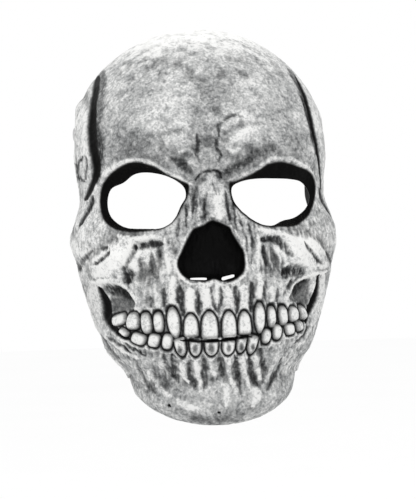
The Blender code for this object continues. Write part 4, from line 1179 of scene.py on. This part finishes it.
def grey_foam():
    m = Nodes("grey_foam", Specular_IOR_Level=0.15, Sheen_Weight=0.2)
    cells = m.add("TexVoronoi", {"Scale": 1500.0, "Vector": m.place()}).outputs["Distance"]
    tint = m.noise(60, 4.0)
    colour = m.blend(m.spread(cells, 0.05, 0.6), (0.012, 0.012, 0.013), (0.085, 0.087, 0.090))
    m.colour(m.blend(m.spread(tint, 0.3, 0.7, 0.0, 0.35), colour, (0.050, 0.050, 0.052)))
    m.roughness(m.spread(cells, 0.0, 0.6, 0.98, 0.85))
    m.bump(cells, 0.4 * MM, 0.7)
    return m.material


def brushed_steel():
    m = Nodes("brushed_steel", Metallic=1.0)
    split = m.add("SeparateXYZ", {0: m.place()})
    y = m.math("SUBTRACT", split.outputs[1], ANCHOR.y)
    z = m.math("SUBTRACT", split.outputs[2], ANCHOR.z)
    radius = m.math("SQRT", m.math("ADD", m.times(y, y), m.times(z, z)))
    ring_place = m.add("CombineXYZ", {0: m.times(radius, 6.0), 1: split.outputs[0]}).outputs[0]
    scratch = m.noise(900, 4.0, 0.7, place=ring_place)
    smudge = m.noise(220, 3.0)
    m.colour(m.blend(m.spread(smudge, 0.3, 0.75), (0.42, 0.42, 0.43), (0.62, 0.62, 0.62)))
    m.roughness(m.times(scratch, 0.25, m.times(smudge, 0.15, 0.12)))
    m.bump(scratch, 0.05 * MM, 0.4)
    return m.material


def chromed_wire():
    m = Nodes("chromed_wire", Metallic=1.0)
    smudge = m.noise(260, 4.0)
    pits = m.noise(1800, 2.0)
    m.colour(m.blend(m.spread(smudge, 0.35, 0.75), (0.66, 0.66, 0.67), (0.80, 0.80, 0.80)))
    m.roughness(m.times(smudge, 0.25, m.spread(pits, 0.6, 0.8, 0.04, 0.25)))
    m.bump(m.spread(pits, 0.62, 0.78, 0.0, -1.0), 0.05 * MM, 0.4)
    return m.material


def moulded_plastic():
    m = Nodes("moulded_plastic", Specular_IOR_Level=0.4)
    grain = m.noise(1400, 3.0)
    scuff = m.noise(150, 5.0, 0.7)
    m.colour(m.blend(m.spread(scuff, 0.5, 0.8), (0.013, 0.013, 0.014), (0.045, 0.045, 0.047)))
    m.roughness(m.times(scuff, 0.3, m.times(grain, 0.15, 0.25)))
    m.bump(grain, 0.08 * MM, 0.5)
    return m.material


# ------------------------------ camera, lights and floor

def set_camera():
    """Level with the mask, from its own right by a few degrees, and rolled a little."""
    roll, distance = math.radians(2), 1.5
    aim = Vector((0.7, -50.0, -31.8)) * UNIT
    level = Matrix.Rotation(VIEW_YAW, 4, "Z") @ Matrix.Rotation(math.pi / 2, 4, "X")
    turn = level @ Matrix.Rotation(-roll, 4, "Z")
    camera = add_object("camera", bpy.data.cameras.new("camera"))
    camera.matrix_world = Matrix.Translation(aim + turn.col[2].xyz * distance) @ turn
    camera.data.sensor_width = 36.0
    camera.data.lens = 36.0 * distance / (333.8 * UNIT)
    bpy.context.scene.camera = camera


def add_light(name, place, aim, size, power):
    light = add_object(name, bpy.data.lights.new(name, "AREA"))
    light.data.shape = "DISK"
    light.data.size = size
    light.data.energy = power
    light.location = place
    light.rotation_euler = (Vector(aim) - Vector(place)).to_track_quat("-Z", "Y").to_euler()


def set_lights():
    world = bpy.data.worlds.new("studio")
    world.use_nodes = True
    background = world.node_tree.nodes["Background"].inputs
    background["Color"].default_value = (1.0, 1.0, 1.0, 1.0)
    background["Strength"].default_value = 1.0
    bpy.context.scene.world = world
    add_light("key", (-0.4, -1.2, 1.3), (0, 0, 0), 0.7, 5.0)
    bpy.context.scene.view_settings.view_transform = "Standard"


def add_floor():
    shape = bmesh.new()
    bmesh.ops.create_circle(shape, cap_ends=True, segments=96, radius=6.0,
                            matrix=Matrix.Translation((0, 0, -0.35)))
    mesh = bpy.data.meshes.new("floor")
    shape.to_mesh(mesh)
    shape.free()
    m = Nodes("floor_paper", Roughness=0.9, Specular_IOR_Level=0.0)
    m.colour(m.blend(m.noise(3.0), (0.97, 0.97, 0.97), (0.99, 0.99, 0.99)))
    mesh.materials.append(m.material)
    add_object("floor", mesh)


def main():
    set_camera()
    set_lights()
    add_floor()
    build_skin()
    build_straps()
    build_patches()
    build_pad()
    finish_fittings()


main()
